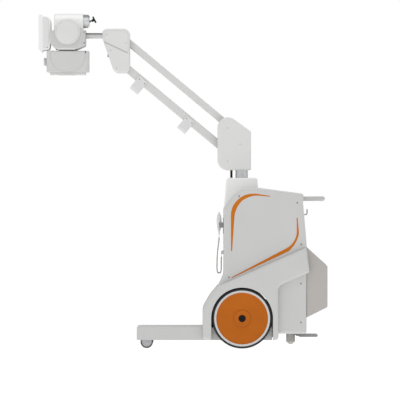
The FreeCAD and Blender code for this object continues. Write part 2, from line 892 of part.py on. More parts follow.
def make_emergency_stop():
    """Mushroom button on a collar, with its stem through the deck."""
    stop = new_body("emergency_stop")
    bind(stop, "Placement.Base.x", s.stop_x)
    bind(stop, "Placement.Base.y", s.stop_y)
    bind(stop, "Placement.Base.z", deck_z(s.stop_x))
    profile = sketch_on(stop, "XZ")
    outline(profile, [
        (0, -14),
        (s.stop_stem_radius, -14),
        (s.stop_stem_radius, 12),
        (s.stop_head_radius, 12, 2),
        (s.stop_head_radius, 22, 6),
        (0, 22),
    ])
    revolve(stop, profile)


def rear_edge_x(z):
    """The outer face of the rear cover at a height between the bin and the handle."""
    high = s.panel_rear_top_z - 56
    slope = (s.panel_rear_low_x - s.panel_rear_top_x + 7) / (high - 609)
    return s.panel_rear_top_x - 6.5 + slope * (high - z)


def make_rear_cover():
    """Flat rear sheet between the side panels, following their rear edge."""
    cover = new_body("rear_cover")
    half = s.panel_half_width - s.panel_depth - s.seat_gap
    lip = 1.5
    line = [
        (s.panel_rear_top_x - lip - 2, s.panel_rear_top_z - 12),
        (s.panel_rear_top_x - 5 - lip, s.panel_rear_top_z - 56, 60),
        (s.panel_rear_low_x + 2 - lip, 609, 60),
        (s.panel_rear_low_x - lip, s.panel_low_z + 3),
    ]
    sheet_line = sketch_on(cover, "XZ")
    outline(sheet_line, strip(line, s.cover_wall))
    pad(cover, sheet_line, half * 2, symmetric=True)
    for side in (-1, 1):
        hole = sketch_on(cover, "YZ", s.panel_rear_top_x - 60)
        circle(hole, side * s.handle_half_span, s.handle_z, s.handle_radius + s.seat_gap)
        pocket(cover, hole, 100, back=True)


def make_turret_cover():
    """Tapered box round the foot of the column, open below, with a round hole on top."""
    cover = new_body("turret_cover")
    corners = [
        (s.panel_front_x + 2.5, s.turret_low_z),
        (s.turret_rear_x + 1, s.turret_low_z),
        (s.turret_rear_x + 1, top_line_z(s.turret_rear_x)),
        (s.turret_rear_x - 3, s.turret_top_z, 12),
        (s.panel_front_x + 19, s.turret_top_z, 20),
    ]
    side = sketch_on(cover, "XZ")
    outline(side, corners)
    pad(cover, side, s.turret_half_width * 2, symmetric=True)
    half = s.turret_half_width
    fillet(cover, s.turret_edge_radius, lambda edge: all_points(
        edge, lambda p: near(abs(p.y), half) and p.z > s.turret_low_z.value + 0.01))
    inside = inset(corners, s.cover_wall)
    inside[0] = (inside[0][0], s.turret_low_z - 10)
    inside[1] = (inside[1][0], s.turret_low_z - 10)
    cavity = sketch_on(cover, "XZ")
    outline(cavity, inside)
    pocket(cover, cavity, (half - s.cover_wall) * 2, symmetric=True)
    hole = sketch_on(cover, "XY", s.turret_top_z)
    circle(hole, s.wheel_x, 0, s.column_flange_radius + s.seat_gap)
    pocket(cover, hole, 20)


def make_push_handle():
    """Tube bent into a U, both ends through the rear cover."""
    handle = new_body("push_handle")
    start = deck_rear_x() + s.seat_gap
    end = s.handle_rear_x - s.handle_radius
    span = s.handle_half_span
    route = sketch_on(handle, "XY", s.handle_z)
    outline(route, [(start, -span), (end, -span, 55), (end, span, 55), (start, span)], closed=False)
    ring = sketch_on(handle, "YZ", start)
    circle(ring, -span, s.handle_z, s.handle_radius)
    pipe = handle.newObject("PartDesign::AdditivePipe", "handle_tube")
    pipe.Profile = ring
    pipe.Spine = route


def make_bin():
    """Open-topped detector bin behind the body, with a sloping mouth and floor."""
    bin_body = new_body("detector_bin")
    front, rear = s.panel_rear_low_x + 2 + s.seat_gap, s.bin_rear_x
    corners = [
        (front, s.bin_low_z),
        (rear, s.bin_low_z + 62, 12),
        (rear, s.bin_top_z - 118, 12),
        (rear - 10, s.bin_top_z - 103, 8),
        (front, s.bin_top_z),
    ]
    side = sketch_on(bin_body, "XZ")
    outline(side, corners)
    pad(bin_body, side, s.bin_half_width * 2, symmetric=True)
    fillet(bin_body, 8, lambda edge: all_points(edge, lambda p: near(p.x, rear) and abs(p.y) > 100))
    wall = s.cover_wall
    mouth = s.bin_top_z + 60
    cavity = sketch_on(bin_body, "XZ")
    outline(cavity, [
        (front + wall, s.bin_low_z + wall * 1.6),
        (rear - wall, s.bin_low_z + 62 + wall * 1.1, 8),
        (rear - wall, mouth),
        (front + wall, mouth),
    ])
    pocket(bin_body, cavity, (s.bin_half_width - wall) * 2, symmetric=True)


def make_cord_hook():
    """J-shaped strip on the rear cover."""
    hook = new_body("cord_hook")
    foot = rear_edge_x(s.hook_z) + s.seat_gap
    side = sketch_on(hook, "XZ")
    tip = foot + 28
    outline(side, [
        (foot, s.hook_z),
        (tip, s.hook_z, 14),
        (tip, s.hook_z + 37, 2),
        (tip - s.hook_strip, s.hook_z + 37, 2),
        (tip - s.hook_strip, s.hook_z + s.hook_strip, 14 - s.hook_strip),
        (foot, s.hook_z + s.hook_strip),
    ])
    pad(hook, side, 30, symmetric=True)


def make_rear_foot():
    """Round anti-tip stop under the rear of the base frame, clear of the floor."""
    foot = new_body("rear_foot")
    bind(foot, "Placement.Base.x", s.foot_x)
    profile = sketch_on(foot, "XZ")
    outline(profile, [
        (0, s.foot_low_z),
        (8, s.foot_low_z, 3),
        (s.foot_radius, s.foot_low_z + 16, 5),
        (s.foot_radius, s.frame_bottom_z),
        (0, s.frame_bottom_z),
    ])
    revolve(foot, profile)


def make_brake_pedal():
    """Foot lever with a broad slotted tread, on a cross pin between two lugs of the frame."""
    pedal = new_body("brake_pedal")
    bind(pedal, "Placement.Base.x", s.pedal_pivot_x)
    bind(pedal, "Placement.Base.z", s.pedal_pivot_z)
    hub, length, half = s.pedal_hub_radius, s.pedal_length, s.pedal_width / 2
    side = sketch_on(pedal, "XZ")
    outline(side, [
        (0, hub),
        (8, hub, 6),
        (28, 3),
        (length, 3, 8),
        (length, -15, 8),
        (hub, -15, 8),
        (0, -hub),
    ])
    pad(pedal, side, s.pedal_width, symmetric=True)
    eye = sketch_on(pedal, "XZ")
    circle(eye, 0, 0, hub)
    pad(pedal, eye, s.pedal_width, symmetric=True)
    slot = sketch_on(pedal, "XY", 20)
    outline(slot, box_corners(30, 14 - half, length - 40, half - 14, 8))
    pocket(pedal, slot, 80)
    pin = sketch_on(pedal, "XZ")
    circle(pin, 0, 0, s.pedal_pin_radius)
    pad(pedal, pin, s.pedal_width + s.pedal_lug * 2 + s.seat_gap * 2, symmetric=True)


def make_power_units():
    """Sealed power unit behind the axle and battery pack ahead of it, both on the tray."""
    half = s.leg_inner_y - s.frame_plate - s.seat_gap
    floor = s.frame_bottom_z + s.frame_plate
    for label, front, rear, height in (
        ("power_unit", s.wheel_x + 30, s.post_rear_x + 60, 130),
        ("battery_pack", s.frame_front_x + 15, s.wheel_x - 35, 130),
    ):
        unit = new_body(label)
        base = sketch_on(unit, "XY", floor)
        outline(base, box_corners(front, -half, rear, half, 6))
        pad(unit, base, height)


# Hand switch on the front cover, with its curly cord.


def make_hand_switch():
    """Slim tapered grip, hung in its holder with the push button uppermost."""
    grip = new_body("hand_switch")
    bind(grip, "Placement.Base.x", s.switch_x)
    bind(grip, "Placement.Base.y", s.switch_y)
    bind(grip, "Placement.Base.z", s.switch_z)
    profile = sketch_on(grip, "XZ")
    outline(profile, [
        (0, 0),
        (4, 0),
        (5, 22, 6),
        (10, 32, 30),
        (15.5, 90, 40),
        (11, 122, 2),
        (s.exposure_radius + s.seat_gap, 122),
        (s.exposure_radius + s.seat_gap, 110),
        (0, 110),
    ])
    revolve(grip, profile)
    button = new_body("exposure_button")
    bind(button, "Placement.Base.x", s.switch_x)
    bind(button, "Placement.Base.y", s.switch_y)
    bind(button, "Placement.Base.z", s.switch_z)
    tip = sketch_on(button, "XZ")
    outline(tip, [(0, 112.5), (s.exposure_radius, 112.5), (s.exposure_radius, 130, 2), (3, 138, 3), (0, 138)])
    revolve(button, tip)


def make_switch_holder():
    """Bracket on the front cover with a cradle round the grip."""
    holder = new_body("switch_holder")
    bind(holder, "Placement.Base.y", s.switch_y)
    back = s.panel_front_x + 1.5 - s.seat_gap
    plate = sketch_on(holder, "XY", s.switch_z + 8)
    outline(plate, box_corners(back - 5, -14, back, 14))
    pad(holder, plate, 98)
    cradle = sketch_on(holder, "XY", s.switch_z + 44)
    half = s.holder_half_gap
    outline(cradle, [
        (back - 4, -half - 4, 3),
        (s.switch_x, -half - 4, 1.5),
        (s.switch_x, -half, 1.5),
        (s.switch_x + half, -half, 4),
        (s.switch_x + half, half, 4),
        (s.switch_x, half, 1.5),
        (s.switch_x, half + 4, 1.5),
        (back - 4, half + 4, 3),
    ])
    pad(holder, cradle, 32)


CORD_ROUTE = [
    (222.6, -110, 678),
    (223.6, -111, 662),
    (220.6, -114, 632),
    (214.6, -119, 586),
    (211.4, -123, 540),
    (210.0, -125, 494),
    (210.6, -125, 450),
    (235.4, -95, 450),
    (236.6, -94, 494),
    (235.6, -94, 527),
    (237.6, -95, 549),
    (239.4, -95, 562),
]


def cord_path(points):
    """Straight runs joined by tangent arcs; returns the wire and its smallest radius."""
    route = [FreeCAD.Vector(*point) for point in points]
    edges, radii = [], []
    here = route[0]
    for before, corner, after in zip(route, route[1:], route[2:]):
        back, ahead = before - corner, after - corner
        reach = 0.45 * min(back.Length, ahead.Length)
        half_turn = (math.pi - back.getAngle(ahead)) / 2
        radii.append(reach / math.tan(half_turn))
        first = corner + back.normalize() * reach
        last = corner + ahead.normalize() * reach
        inward = ((first + last) * 0.5 - corner).normalize()
        middle = corner + inward * (radii[-1] / math.cos(half_turn) - radii[-1])
        edges.append(Part.LineSegment(here, first).toShape())
        edges.append(Part.Arc(first, middle, last).toShape())
        here = last
    edges.append(Part.LineSegment(here, route[-1]).toShape())
    return Part.Wire(edges), radii


def make_curly_cord():
    """The coiled cord as one fat tube of its outer diameter."""
    cord = doc.addObject("Part::Feature", "curly_cord")
    cord.Label = "curly_cord"
    wire, radii = cord_path(CORD_ROUTE)
    start = wire.Vertexes[0].Point
    along = (wire.Edges[0].valueAt(wire.Edges[0].LastParameter) - start).normalize()
    ring = Part.Wire([Part.makeCircle(s.cord_radius.value, start, along)])
    tube = wire.makePipeShell([ring], True, False)
    cord.Shape = tube
    SUB_PARTS.append(cord)
    section = math.pi * s.cord_radius.value ** 2
    print("cord length", round(wire.Length, 1), "radii", [round(r, 1) for r in radii])
    print("cord volume over section times length", round(tube.Volume / (section * wire.Length), 4))


def make_cord_inlet():
    """Strain relief where the curly cord enters the front cover."""
    inlet = new_body("cord_inlet")
    end = CORD_ROUTE[-1]
    bind(inlet, "Placement.Base.y", end[1])
    side = sketch_on(inlet, "XZ")
    outline(side, [
        (end[0] - 6, end[2] + s.seat_gap, 1),
        (end[0] + 5, end[2] + s.seat_gap, 1),
        (s.panel_front_x + 1.5 - s.seat_gap, end[2] + 4),
        (s.panel_front_x + 1.5 - s.seat_gap, end[2] + 26),
        (end[0] - 5, end[2] + 20, 6),
    ])
    pad(inlet, side, 18, symmetric=True)
    fillet(inlet, 3, lambda edge: all_points(edge, lambda p: near(abs(p.y), 9) and p.x < s.panel_front_x.value - 1))


# Column with the rear pivots of the parallel bars.


def make_column():
    """Steel column with a turning flange that closes the turret."""
    column = new_body("column_tube")
    bind(column, "Placement.Base.x", s.wheel_x)
    top = s.rear_cover_bottom_z + s.column_top_reach
    flange_top = s.turret_top_z - 2
    flange_low = flange_top - s.column_flange_height
    r, flange = s.column_radius, s.column_flange_radius
    profile = sketch_on(column, "XZ")
    outline(profile, [
        (r - s.column_wall, s.column_bottom_z),
        (r, s.column_bottom_z),
        (r, flange_low),
        (flange, flange_low),
        (flange, flange_top),
        (r, flange_top),
        (r, top),
        (r - s.column_wall, top),
    ])
    revolve(column, profile)
    hole = sketch_on(column, "XY", flange_top + 1)
    circle(hole, -s.cable_reach, 0, s.cable_radius + s.seat_gap)
    pocket(column, hole, s.column_flange_height + 4)


def make_column_cable():
    cable = doc.addObject("Part::Cylinder", "column_cable")
    cable.Label = "column_cable"
    bind(cable, "Radius", s.cable_radius)
    bind(cable, "Height", s.rear_cover_bottom_z - s.turret_top_z + 50 + s.column_top_reach - 2)
    bind(cable, "Placement.Base.x", s.wheel_x - s.cable_reach)
    bind(cable, "Placement.Base.z", s.turret_top_z - 50)
    SUB_PARTS.append(cable)


def make_rear_bracket():
    """Clevis on the column: two plates with a web and a foot plate, bored for two pins."""
    bracket = new_body("rear_bracket")
    low, high = s.pivot_low_z, s.pivot_low_z + s.pivot_rise
    foot = s.rear_cover_bottom_z + s.column_top_reach
    rear = s.wheel_x + 45
    half = s.clevis_inner_y + s.clevis_plate
    side = sketch_on(bracket, "XZ")
    outline(side, [
        (s.pivot_x + 25, foot),
        (rear, foot),
        (rear, high - 40, 15),
        (s.pivot_x + 8, high + 32, 26),
        (s.pivot_x - 28, high + 32, 26),
        (s.pivot_x - 28, low - 32, 26),
    ])
    pad(bracket, side, half * 2, symmetric=True)
    slot = sketch_on(bracket, "XZ")
    outline(slot, [
        (s.pivot_x - 60, foot + 12),
        (s.pivot_x + 32, foot + 12, 4),
        (s.pivot_x + 32, high + 80),
        (s.pivot_x - 60, high + 80),
    ])
    pocket(bracket, slot, s.clevis_inner_y * 2, symmetric=True)
    for height in (low, high):
        bore = sketch_on(bracket, "XZ")
        circle(bore, s.pivot_x, height, s.pin_radius)
        pocket(bracket, bore, half * 3, symmetric=True)


def make_pins(label, x, heights, length):
    """A pair of equal cross pins, one above the other."""
    pins = []
    for height in heights:
        pin = doc.addObject("Part::Cylinder", f"{label}_pin")
        bind(pin, "Radius", s.pin_radius)
        bind(pin, "Height", length)
        pin.Placement.Rotation = FreeCAD.Rotation(FreeCAD.Vector(1, 0, 0), 90)
        bind(pin, "Placement.Base.x", x)
        bind(pin, "Placement.Base.y", length / 2)
        bind(pin, "Placement.Base.z", height)
        pins.append(pin)
    pair = doc.addObject("Part::Compound", label)
    pair.Label = label
    pair.Links = pins
    SUB_PARTS.append(pair)


def arm_cover_half(label, corners, notch):
    """One moulded half of an arm head cover: face, rim and the gap where the bars swing."""
    cover = new_body(label)
    split = s.seat_gap / 2
    half = s.cover_half_width
    side = sketch_on(cover, "XZ", split)
    outline(side, corners)
    pad(cover, side, half - split)
    fillet(cover, s.cover_edge_radius, lambda edge: all_points(edge, lambda p: near(-p.y, half)))
    cavity = sketch_on(cover, "XZ", split)
    outline(cavity, inset(corners, s.cover_wall))
    pocket(cover, cavity, half - split - s.cover_face, back=True)
    gap = sketch_on(cover, "XZ", split)
    outline(gap, notch)
    pocket(cover, gap, half - split - s.cover_face - 4, back=True)
    return cover


def make_rear_covers():
    low, rear = s.rear_cover_bottom_z, s.rear_cover_rear_x
    high = s.pivot_low_z + s.pivot_rise
    front = s.pivot_x - 64
    corners = [
        (front, low, 62),
        (rear, low, 10),
        (rear, high - 38, 14),
        (front, high + 107, 62),
    ]
    notch = box_corners(front - 20, low - 20, s.pivot_x + 27, high + 140)
    cover = arm_cover_half("rear_shell_left", corners, notch)
    for x, radius in ((s.wheel_x, s.column_radius), (s.wheel_x - s.cable_reach, s.cable_radius)):
        hole = sketch_on(cover, "XY", low + 14)
        circle(hole, x, 0, radius + s.seat_gap)
        pocket(cover, hole, 40)
    mirrored(cover, "rear_shell_right")


# Parallel bars, each in a frame whose origin is its rear pivot and whose -X runs up the bar.


def on_bar(item, pivot_z):
    item.Placement.Rotation = FreeCAD.Rotation(FreeCAD.Vector(0, 1, 0), 1)
    bind(item, "Placement.Rotation.Angle", s.arm_angle)
    bind(item, "Placement.Base.x", s.pivot_x)
    bind(item, "Placement.Base.z", pivot_z)


def make_bar(label, pivot_z, height):
    """Box tube with a solid eye at each end."""
    bar = new_body(label)
    on_bar(bar, pivot_z)
    side = sketch_on(bar, "XZ")
    outline(side, box_corners(-s.arm_length, -height / 2, 0, height / 2))
    pad(bar, side, s.bar_width, symmetric=True)
    fillet(bar, 7, lambda edge: all_points(
        edge, lambda p: near(abs(p.y), s.bar_width / 2) and near(abs(p.z), height / 2)))
    inside = sketch_on(bar, "YZ")
    w, h = s.bar_width / 2 - s.bar_wall, height / 2 - s.bar_wall
    outline(inside, box_corners(-w, -h, w, h, 3))
    pocket(bar, inside)
    eyes = sketch_on(bar, "XZ")
    circle(eyes, 0, 0, s.bar_end_radius)
    circle(eyes, -s.arm_length, 0, s.bar_end_radius)
    pad(bar, eyes, s.bar_width, symmetric=True)
    bores = sketch_on(bar, "XZ")
    circle(bores, 0, 0, s.pin_radius + s.running_gap)
    circle(bores, -s.arm_length, 0, s.pin_radius + s.running_gap)
    pocket(bar, bores, s.bar_width * 2, symmetric=True)


def make_cable_loop(label, distance):
    """U-shaped band saddled over the sides of the lower bar, hanging below it."""
    loop = new_body(label)
    on_bar(loop, s.pivot_low_z)
    inner = s.bar_width / 2 + s.seat_gap
    outer = inner + s.loop_strip
    low = -(s.lower_bar_height / 2 + s.loop_drop + s.loop_strip)
    top = 13
    band = sketch_on(loop, "YZ", -distance)
    outline(band, [
        (inner, top),
        (outer, top),
        (outer, low, 22),
        (-outer, low, 22),
        (-outer, top),
        (-inner, top),
        (-inner, low + s.loop_strip, 22 - s.loop_strip),
        (inner, low + s.loop_strip, 22 - s.loop_strip),
    ])
    pad(loop, band, s.loop_width, symmetric=True)


# Front head of the arm, with the level shaft that carries the tube head.


def front_pivot_x():
    return s.pivot_x - s.arm_length * cosine(s.arm_angle)


def front_pivot_z():
    return s.pivot_low_z + s.arm_length * sine(s.arm_angle)


def make_front_bracket():
    """Solid block on the shaft with a fork at its rear for the eyes of both bars."""
    bracket = new_body("front_bracket")
    x, low = front_pivot_x(), front_pivot_z()
    high = low + s.pivot_rise
    half = s.clevis_inner_y + s.clevis_plate
    side = sketch_on(bracket, "XZ")
    outline(side, [
        (x - 70, high + 12, 10),
        (x + 28, high + 22, 22),
        (x + 28, low - 27, 20),
        (x - 21, low - 27, 15),
        (x - 70, high - 40, 10),
    ])
    pad(bracket, side, half * 2, symmetric=True)
    slot = sketch_on(bracket, "XZ")
    reach = s.bar_end_radius + 3
    outline(slot, box_corners(x - reach, low - 60, x + 60, high + 60))
    pocket(bracket, slot, s.clevis_inner_y * 2, symmetric=True)
    for height in (low, high):
        bore = sketch_on(bracket, "XZ")
        circle(bore, x, height, s.pin_radius)
        pocket(bracket, bore, half * 3, symmetric=True)
    shaft = sketch_on(bracket, "YZ", x - 90)
    circle(shaft, 0, s.shaft_z, s.shaft_radius)
    pocket(bracket, shaft, 80, back=True)


def make_arm_shaft():
    """Level steel shaft, stepped down inside the tube head's fork."""
    shaft = new_body("arm_shaft")
    rear = front_pivot_x() - s.bar_end_radius - 4
    step = s.fork_rear_x + s.seat_gap
    profile = sketch_on(shaft, "XZ")
    outline(profile, [
        (s.shaft_front_x, s.shaft_z),
        (s.shaft_front_x, s.shaft_z + s.shaft_spigot_radius, 1),
        (step, s.shaft_z + s.shaft_spigot_radius),
        (step, s.shaft_z + s.shaft_radius),
        (rear, s.shaft_z + s.shaft_radius, 1),
        (rear, s.shaft_z),
    ])
    axis = sketch_axis(profile, (s.shaft_front_x, s.shaft_z), (rear, s.shaft_z))
    revolve(shaft, profile, axis)


def sketch_axis(sketch, start, end):
    """A construction line to turn a profile about; returns its axis name."""
    line = Part.LineSegment(flat_point(start), flat_point(end))
    shape = sketch.addGeometry(line, True)
    place_point(sketch, shape, 1, *start)
    place_point(sketch, shape, 2, *end)
    return "Axis0"


def make_front_covers():
    x, low = front_pivot_x(), front_pivot_z()
    high = low + s.pivot_rise
    left = x - s.cover_front_reach
    corners = [
        (left, high + 31, 32),
        (left, high - 24, 30),
        (x - 26, low - 71, 40),
        (x + 69, low - 71, 34),
        (x + 69, high + 31, 38),
    ]
    notch = box_corners(x - 44, low - 100, x + 110, high + 60)
    cover = arm_cover_half("front_shell_left", corners, notch)
    raised = sketch_on(cover, "XZ", s.cover_half_width - 2)
    outline(raised, [
        (left + 14, high + 18, 20),
        (left + 14, high - 46, 4),
        (x + 57, high - 112, 6),
        (x + 57, high + 18, 26),
    ])
    pad(cover, raised, 4.5)
    hole = sketch_on(cover, "YZ", left - 20)
    circle(hole, 0, s.shaft_z, s.shaft_radius + s.seat_gap)
    pocket(cover, hole, 40, back=True)
    socket = sketch_on(cover, "YZ", left - 20)
    circle(socket, 0, low + s.button_rise, s.button_radius + s.seat_gap)
    pocket(cover, socket, 90, back=True)
    mirrored(cover, "front_shell_right")


def make_release_button():
    """Small round button in the sloping front edge of the arm head."""
    button = doc.addObject("Part::Cylinder", "arm_release_button")
    button.Label = "arm_release_button"
    bind(button, "Radius", s.button_radius)
    bind(button, "Height", 14)
    button.Placement.Rotation = FreeCAD.Rotation(FreeCAD.Vector(0, 1, 0), 90)
    bind(button, "Placement.Base.x", front_pivot_x() - s.cover_front_reach + s.button_inset)
    bind(button, "Placement.Base.z", front_pivot_z() + s.button_rise)
    SUB_PARTS.append(button)


# Tube head. The fork turns on the shaft, and the head tilts on the fork's trunnions.


def make_trunnion_fork():
    fork = new_body("trunnion_fork")
    x, z = s.tilt_x, s.tilt_z
    half = s.fork_half_width
    side = sketch_on(fork, "XZ")
    outline(side, [
        (x, s.shaft_z - s.fork_half_height),
        (s.fork_rear_x, s.shaft_z - s.fork_half_height),
        (s.fork_rear_x, s.shaft_z + s.fork_half_height),
        (x, s.shaft_z + s.fork_half_height),
    ])
    pad(fork, side, half * 2, symmetric=True)
    hub = sketch_on(fork, "XZ")
    circle(hub, x, z, 23)
    pad(fork, hub, half * 2, symmetric=True)
    pin = sketch_on(fork, "XZ")
    circle(pin, x, z, s.tilt_pin_radius)
    pad(fork, pin, (s.casting_half_width - 2) * 2, symmetric=True)
    bore = sketch_on(fork, "YZ", s.fork_rear_x)
    circle(bore, 0, s.shaft_z, s.shaft_spigot_radius + s.running_gap)
    pocket(fork, bore, s.fork_rear_x - s.shaft_front_x + s.seat_gap)


def make_head_casting():
    """Main casting of the tube head: slotted from the rear for the fork, with a neck below."""
    casting = new_body("head_casting")
    x, z = s.tilt_x, s.tilt_z
    low, top = s.casting_low_z, s.drum_flat_z
    side = sketch_on(casting, "XZ")
    outline(side, [
        (x - 112, top - 9, 6),
        (x - 112, low + 32, 4),
        (x - 82, low, 6),
        (x + 50, low, 4),
        (x + 98, low + 21, 4),
        (x + 99.5, top, 3),
        (x - 92, top),
    ])
    pad(casting, side, s.casting_half_width * 2, symmetric=True)
    half = s.casting_half_width
    fillet(casting, 12, lambda edge: all_points(edge, lambda p: near(abs(p.y), half)))
    neck = sketch_on(casting, "XY", s.collimator_top_z + s.seat_gap)
    circle(neck, s.neck_x, 0, s.neck_radius)
    pad(casting, neck, low - s.collimator_top_z + 4)
    slot = sketch_on(casting, "XZ")
    outline(slot, [
        (x - 28, z - 32, 8),
        (x + 8, z - 36),
        (x + 120, z - 90),
        (x + 120, top + 20),
        (x - 28, top + 20),
    ])
    pocket(casting, slot, (s.fork_half_width + 1) * 2, symmetric=True)
    bore = sketch_on(casting, "XZ")
    circle(bore, x, z, s.tilt_pin_radius + s.running_gap)
    pocket(casting, bore, (half - 1) * 2, symmetric=True)


def make_drum():
    """Upper half drum of the tube housing, lying along X on the casting."""
    drum = new_body("tube_drum")
    ring = sketch_on(drum, "YZ", s.drum_front_x)
    circle(ring, 0, s.drum_z, s.drum_radius)
    pad(drum, ring, s.drum_rear_x - s.drum_front_x)
    r = s.drum_radius
    fillet(drum, 7, lambda edge: edge.Length > 100 and (
        all_points(edge, lambda p: near(p.x, s.drum_front_x)) or all_points(edge, lambda p: near(p.x, s.drum_rear_x))))
    below = sketch_on(drum, "YZ", s.drum_front_x - 10)
    outline(below, box_corners(-r * 1.2, s.drum_flat_z - r * 1.5, r * 1.2, s.drum_flat_z))
    pocket(drum, below, s.drum_rear_x - s.drum_front_x + 20, back=True)


def make_end_unit():
    """Bright round end of the tube, set high on the rear of the drum."""
    unit = new_body("drum_end")
    bind(unit, "Placement.Base.z", s.end_unit_z)
    rear = s.drum_rear_x + s.end_unit_length
    profile = sketch_on(unit, "XZ")
    outline(profile, [
        (s.drum_rear_x, 0),
        (s.drum_rear_x, s.end_unit_radius),
        (rear - 8, s.end_unit_radius, 2),
        (rear, s.end_unit_radius - 9, 2),
        (rear, 0),
    ])
    revolve(unit, profile, "H_Axis")


def make_end_lever():
    """Cross handle on a short stem, turned about the drum's axis direction."""
    base = s.drum_rear_x + s.end_unit_length + s.seat_gap
    stem = doc.addObject("Part::Cylinder", "lever_stem")
    bind(stem, "Radius", 4)
    bind(stem, "Height", 22)
    stem.Placement.Rotation = FreeCAD.Rotation(FreeCAD.Vector(0, 1, 0), 72)
    bind(stem, "Placement.Base.x", base + 1)
    bind(stem, "Placement.Base.z", s.end_unit_z)
    boss = doc.addObject("Part::Cylinder", "lever_boss")
    bind(boss, "Radius", 7)
    bind(boss, "Height", 5)
    boss.Placement.Rotation = FreeCAD.Rotation(FreeCAD.Vector(0, 1, 0), 90)
    bind(boss, "Placement.Base.x", base)
    bind(boss, "Placement.Base.z", s.end_unit_z)
    bar = doc.addObject("Part::Cylinder", "lever_bar")
    bind(bar, "Radius", 5)
    bind(bar, "Height", 42)
    bar.Placement.Rotation = FreeCAD.Rotation(FreeCAD.Vector(0, 1, 0), -27)
    bind(bar, "Placement.Base.x", base + 38)
    bind(bar, "Placement.Base.z", s.end_unit_z - 8)
    hub = doc.addObject("Part::Sphere", "lever_hub")
    bind(hub, "Radius", 9)
    bind(hub, "Placement.Base.x", base + 19)
    bind(hub, "Placement.Base.z", s.end_unit_z + 6)
    web = doc.addObject("Part::Cylinder", "lever_web")
    bind(web, "Radius", 5)
    bind(web, "Height", 12)
    web.Placement.Rotation = FreeCAD.Rotation(FreeCAD.Vector(0, 1, 0), 63)
    bind(web, "Placement.Base.x", base + 18)
    bind(web, "Placement.Base.z", s.end_unit_z + 5)
    lever = doc.addObject("Part::MultiFuse", "end_lever")
    lever.Label = "end_lever"
    lever.Shapes = [stem, boss, hub, web, bar]
    SUB_PARTS.append(lever)


def make_head_caps():
    """Round trunnion covers, one on each side of the head."""
    cap = new_body("head_cap", sub_part=False)
    bind(cap, "Placement.Base.x", s.tilt_x)
    bind(cap, "Placement.Base.z", s.tilt_z)
    seat = -s.casting_half_width
    face = seat - s.cap_height
    profile = sketch_on(cap, "XY")
    outline(profile, [
        (0, seat),
        (s.cap_radius, seat),
        (s.cap_radius, seat - 6, 3),
        (s.cap_face_radius, face, 4),
        (0, face),
    ])
    revolve(cap, profile)
    twin = doc.addObject("Part::Mirroring", "head_cap_twin")
    twin.Source = cap
    twin.Normal = FreeCAD.Vector(0, 1, 0)
    pair = doc.addObject("Part::Compound", "head_caps")
    pair.Label = "head_caps"
    pair.Links = [cap, twin]
    SUB_PARTS.append(pair)


def make_front_panel():
    """Front plate with its housing, the link to the casting and a grip loop on each side."""
    panel = new_body("front_panel")
    front = s.front_plate_x
    back = front + s.front_plate_depth
    top, low = s.front_plate_top_z, s.front_plate_low_z
    side = sketch_on(panel, "XZ")
    outline(side, [
        (front, low + 17, 6),
        (front + 19, low, 4),
        (back, low + 17),
        (back, top - 18, 8),
        (back - 10, top, 7),
        (front, top, 9),
    ])
    pad(panel, side, s.front_plate_half_width * 2, symmetric=True)
    half = s.front_plate_half_width
    fillet(panel, 5, lambda edge: all_points(edge, lambda p: near(abs(p.y), half) and p.x < back.value - 1))
    housing = sketch_on(panel, "XZ")
    outline(housing, [
        (back - 2, low + 58),
        (back + 26, low + 64, 6),
        (back + 26, top - 41, 6),
        (back - 2, top - 41),
    ])
    pad(panel, housing, 130, symmetric=True)
    link = sketch_on(panel, "YZ", back)
    outline(link, box_corners(-42, s.tilt_z - 60, 42, s.tilt_z + 10, 8))
    pad(panel, link, s.tilt_x - 112 - back)
    for side_sign in (-1, 1):
        start = s.grip_inner_y if side_sign < 0 else -(s.grip_inner_y + s.grip_width)
        ring = sketch_on(panel, "XZ", start)
        loop = [
            (back - 4, low + 14),
            (back + 38, low + 18, 14),
            (back + 45, low + 70, 20),
            (back + 45, top - 40, 20),
            (back + 36, top - 19, 14),
            (back - 4, top - 17),
        ]
        outline(ring, loop)
        outline(ring, inset(loop, s.grip_strip))
        pad(panel, ring, s.grip_width)


# Collimator, turning under the neck of the head.


def make_collimator():
    box = new_body("collimator")
    x, top = s.neck_x, s.collimator_top_z
    long, wide = s.collimator_length / 2, s.collimator_width / 2
    low = top - s.collimator_height
    plan = sketch_on(box, "XY", low)
    outline(plan, box_corners(x - long, -wide, x + long, wide, s.collimator_corner))
    pad(box, plan, s.collimator_height)
    fillet(box, 4, lambda edge: all_points(edge, lambda p: near(p.z, top) or near(p.z, low)))
    plate = sketch_on(box, "XY", low - s.collimator_plate)
    outline(plate, box_corners(x - long + 21, -wide + 12, x + long - 21, wide - 12, 14))
    pad(box, plate, s.collimator_plate)
    boss = sketch_on(box, "XZ")
    outline(boss, [
        (x - 102, top - 5),
        (x - 102, low + 4, 96),
        (x + 102, low + 4, 96),
        (x + 102, top - 5),
    ])
    pad(box, boss, (wide + 2) * 2, symmetric=True)
    collar = sketch_on(box, "XZ")
    inner = s.neck_radius + s.seat_gap
    axis_x = x
    outline(collar, [
        (axis_x + inner, top - 1),
        (axis_x + 66, top - 1),
        (axis_x + 54, top + 7),
        (axis_x + inner, top + 7),
    ])
    revolve(box, collar, sketch_axis(collar, (axis_x, top - 20), (axis_x, top + 20)))
    window = sketch_on(box, "XY", low - s.collimator_plate)
    outline(window, box_corners(x - 55, -55, x + 55, 55, 4))
    pocket(box, window, 8, back=True)


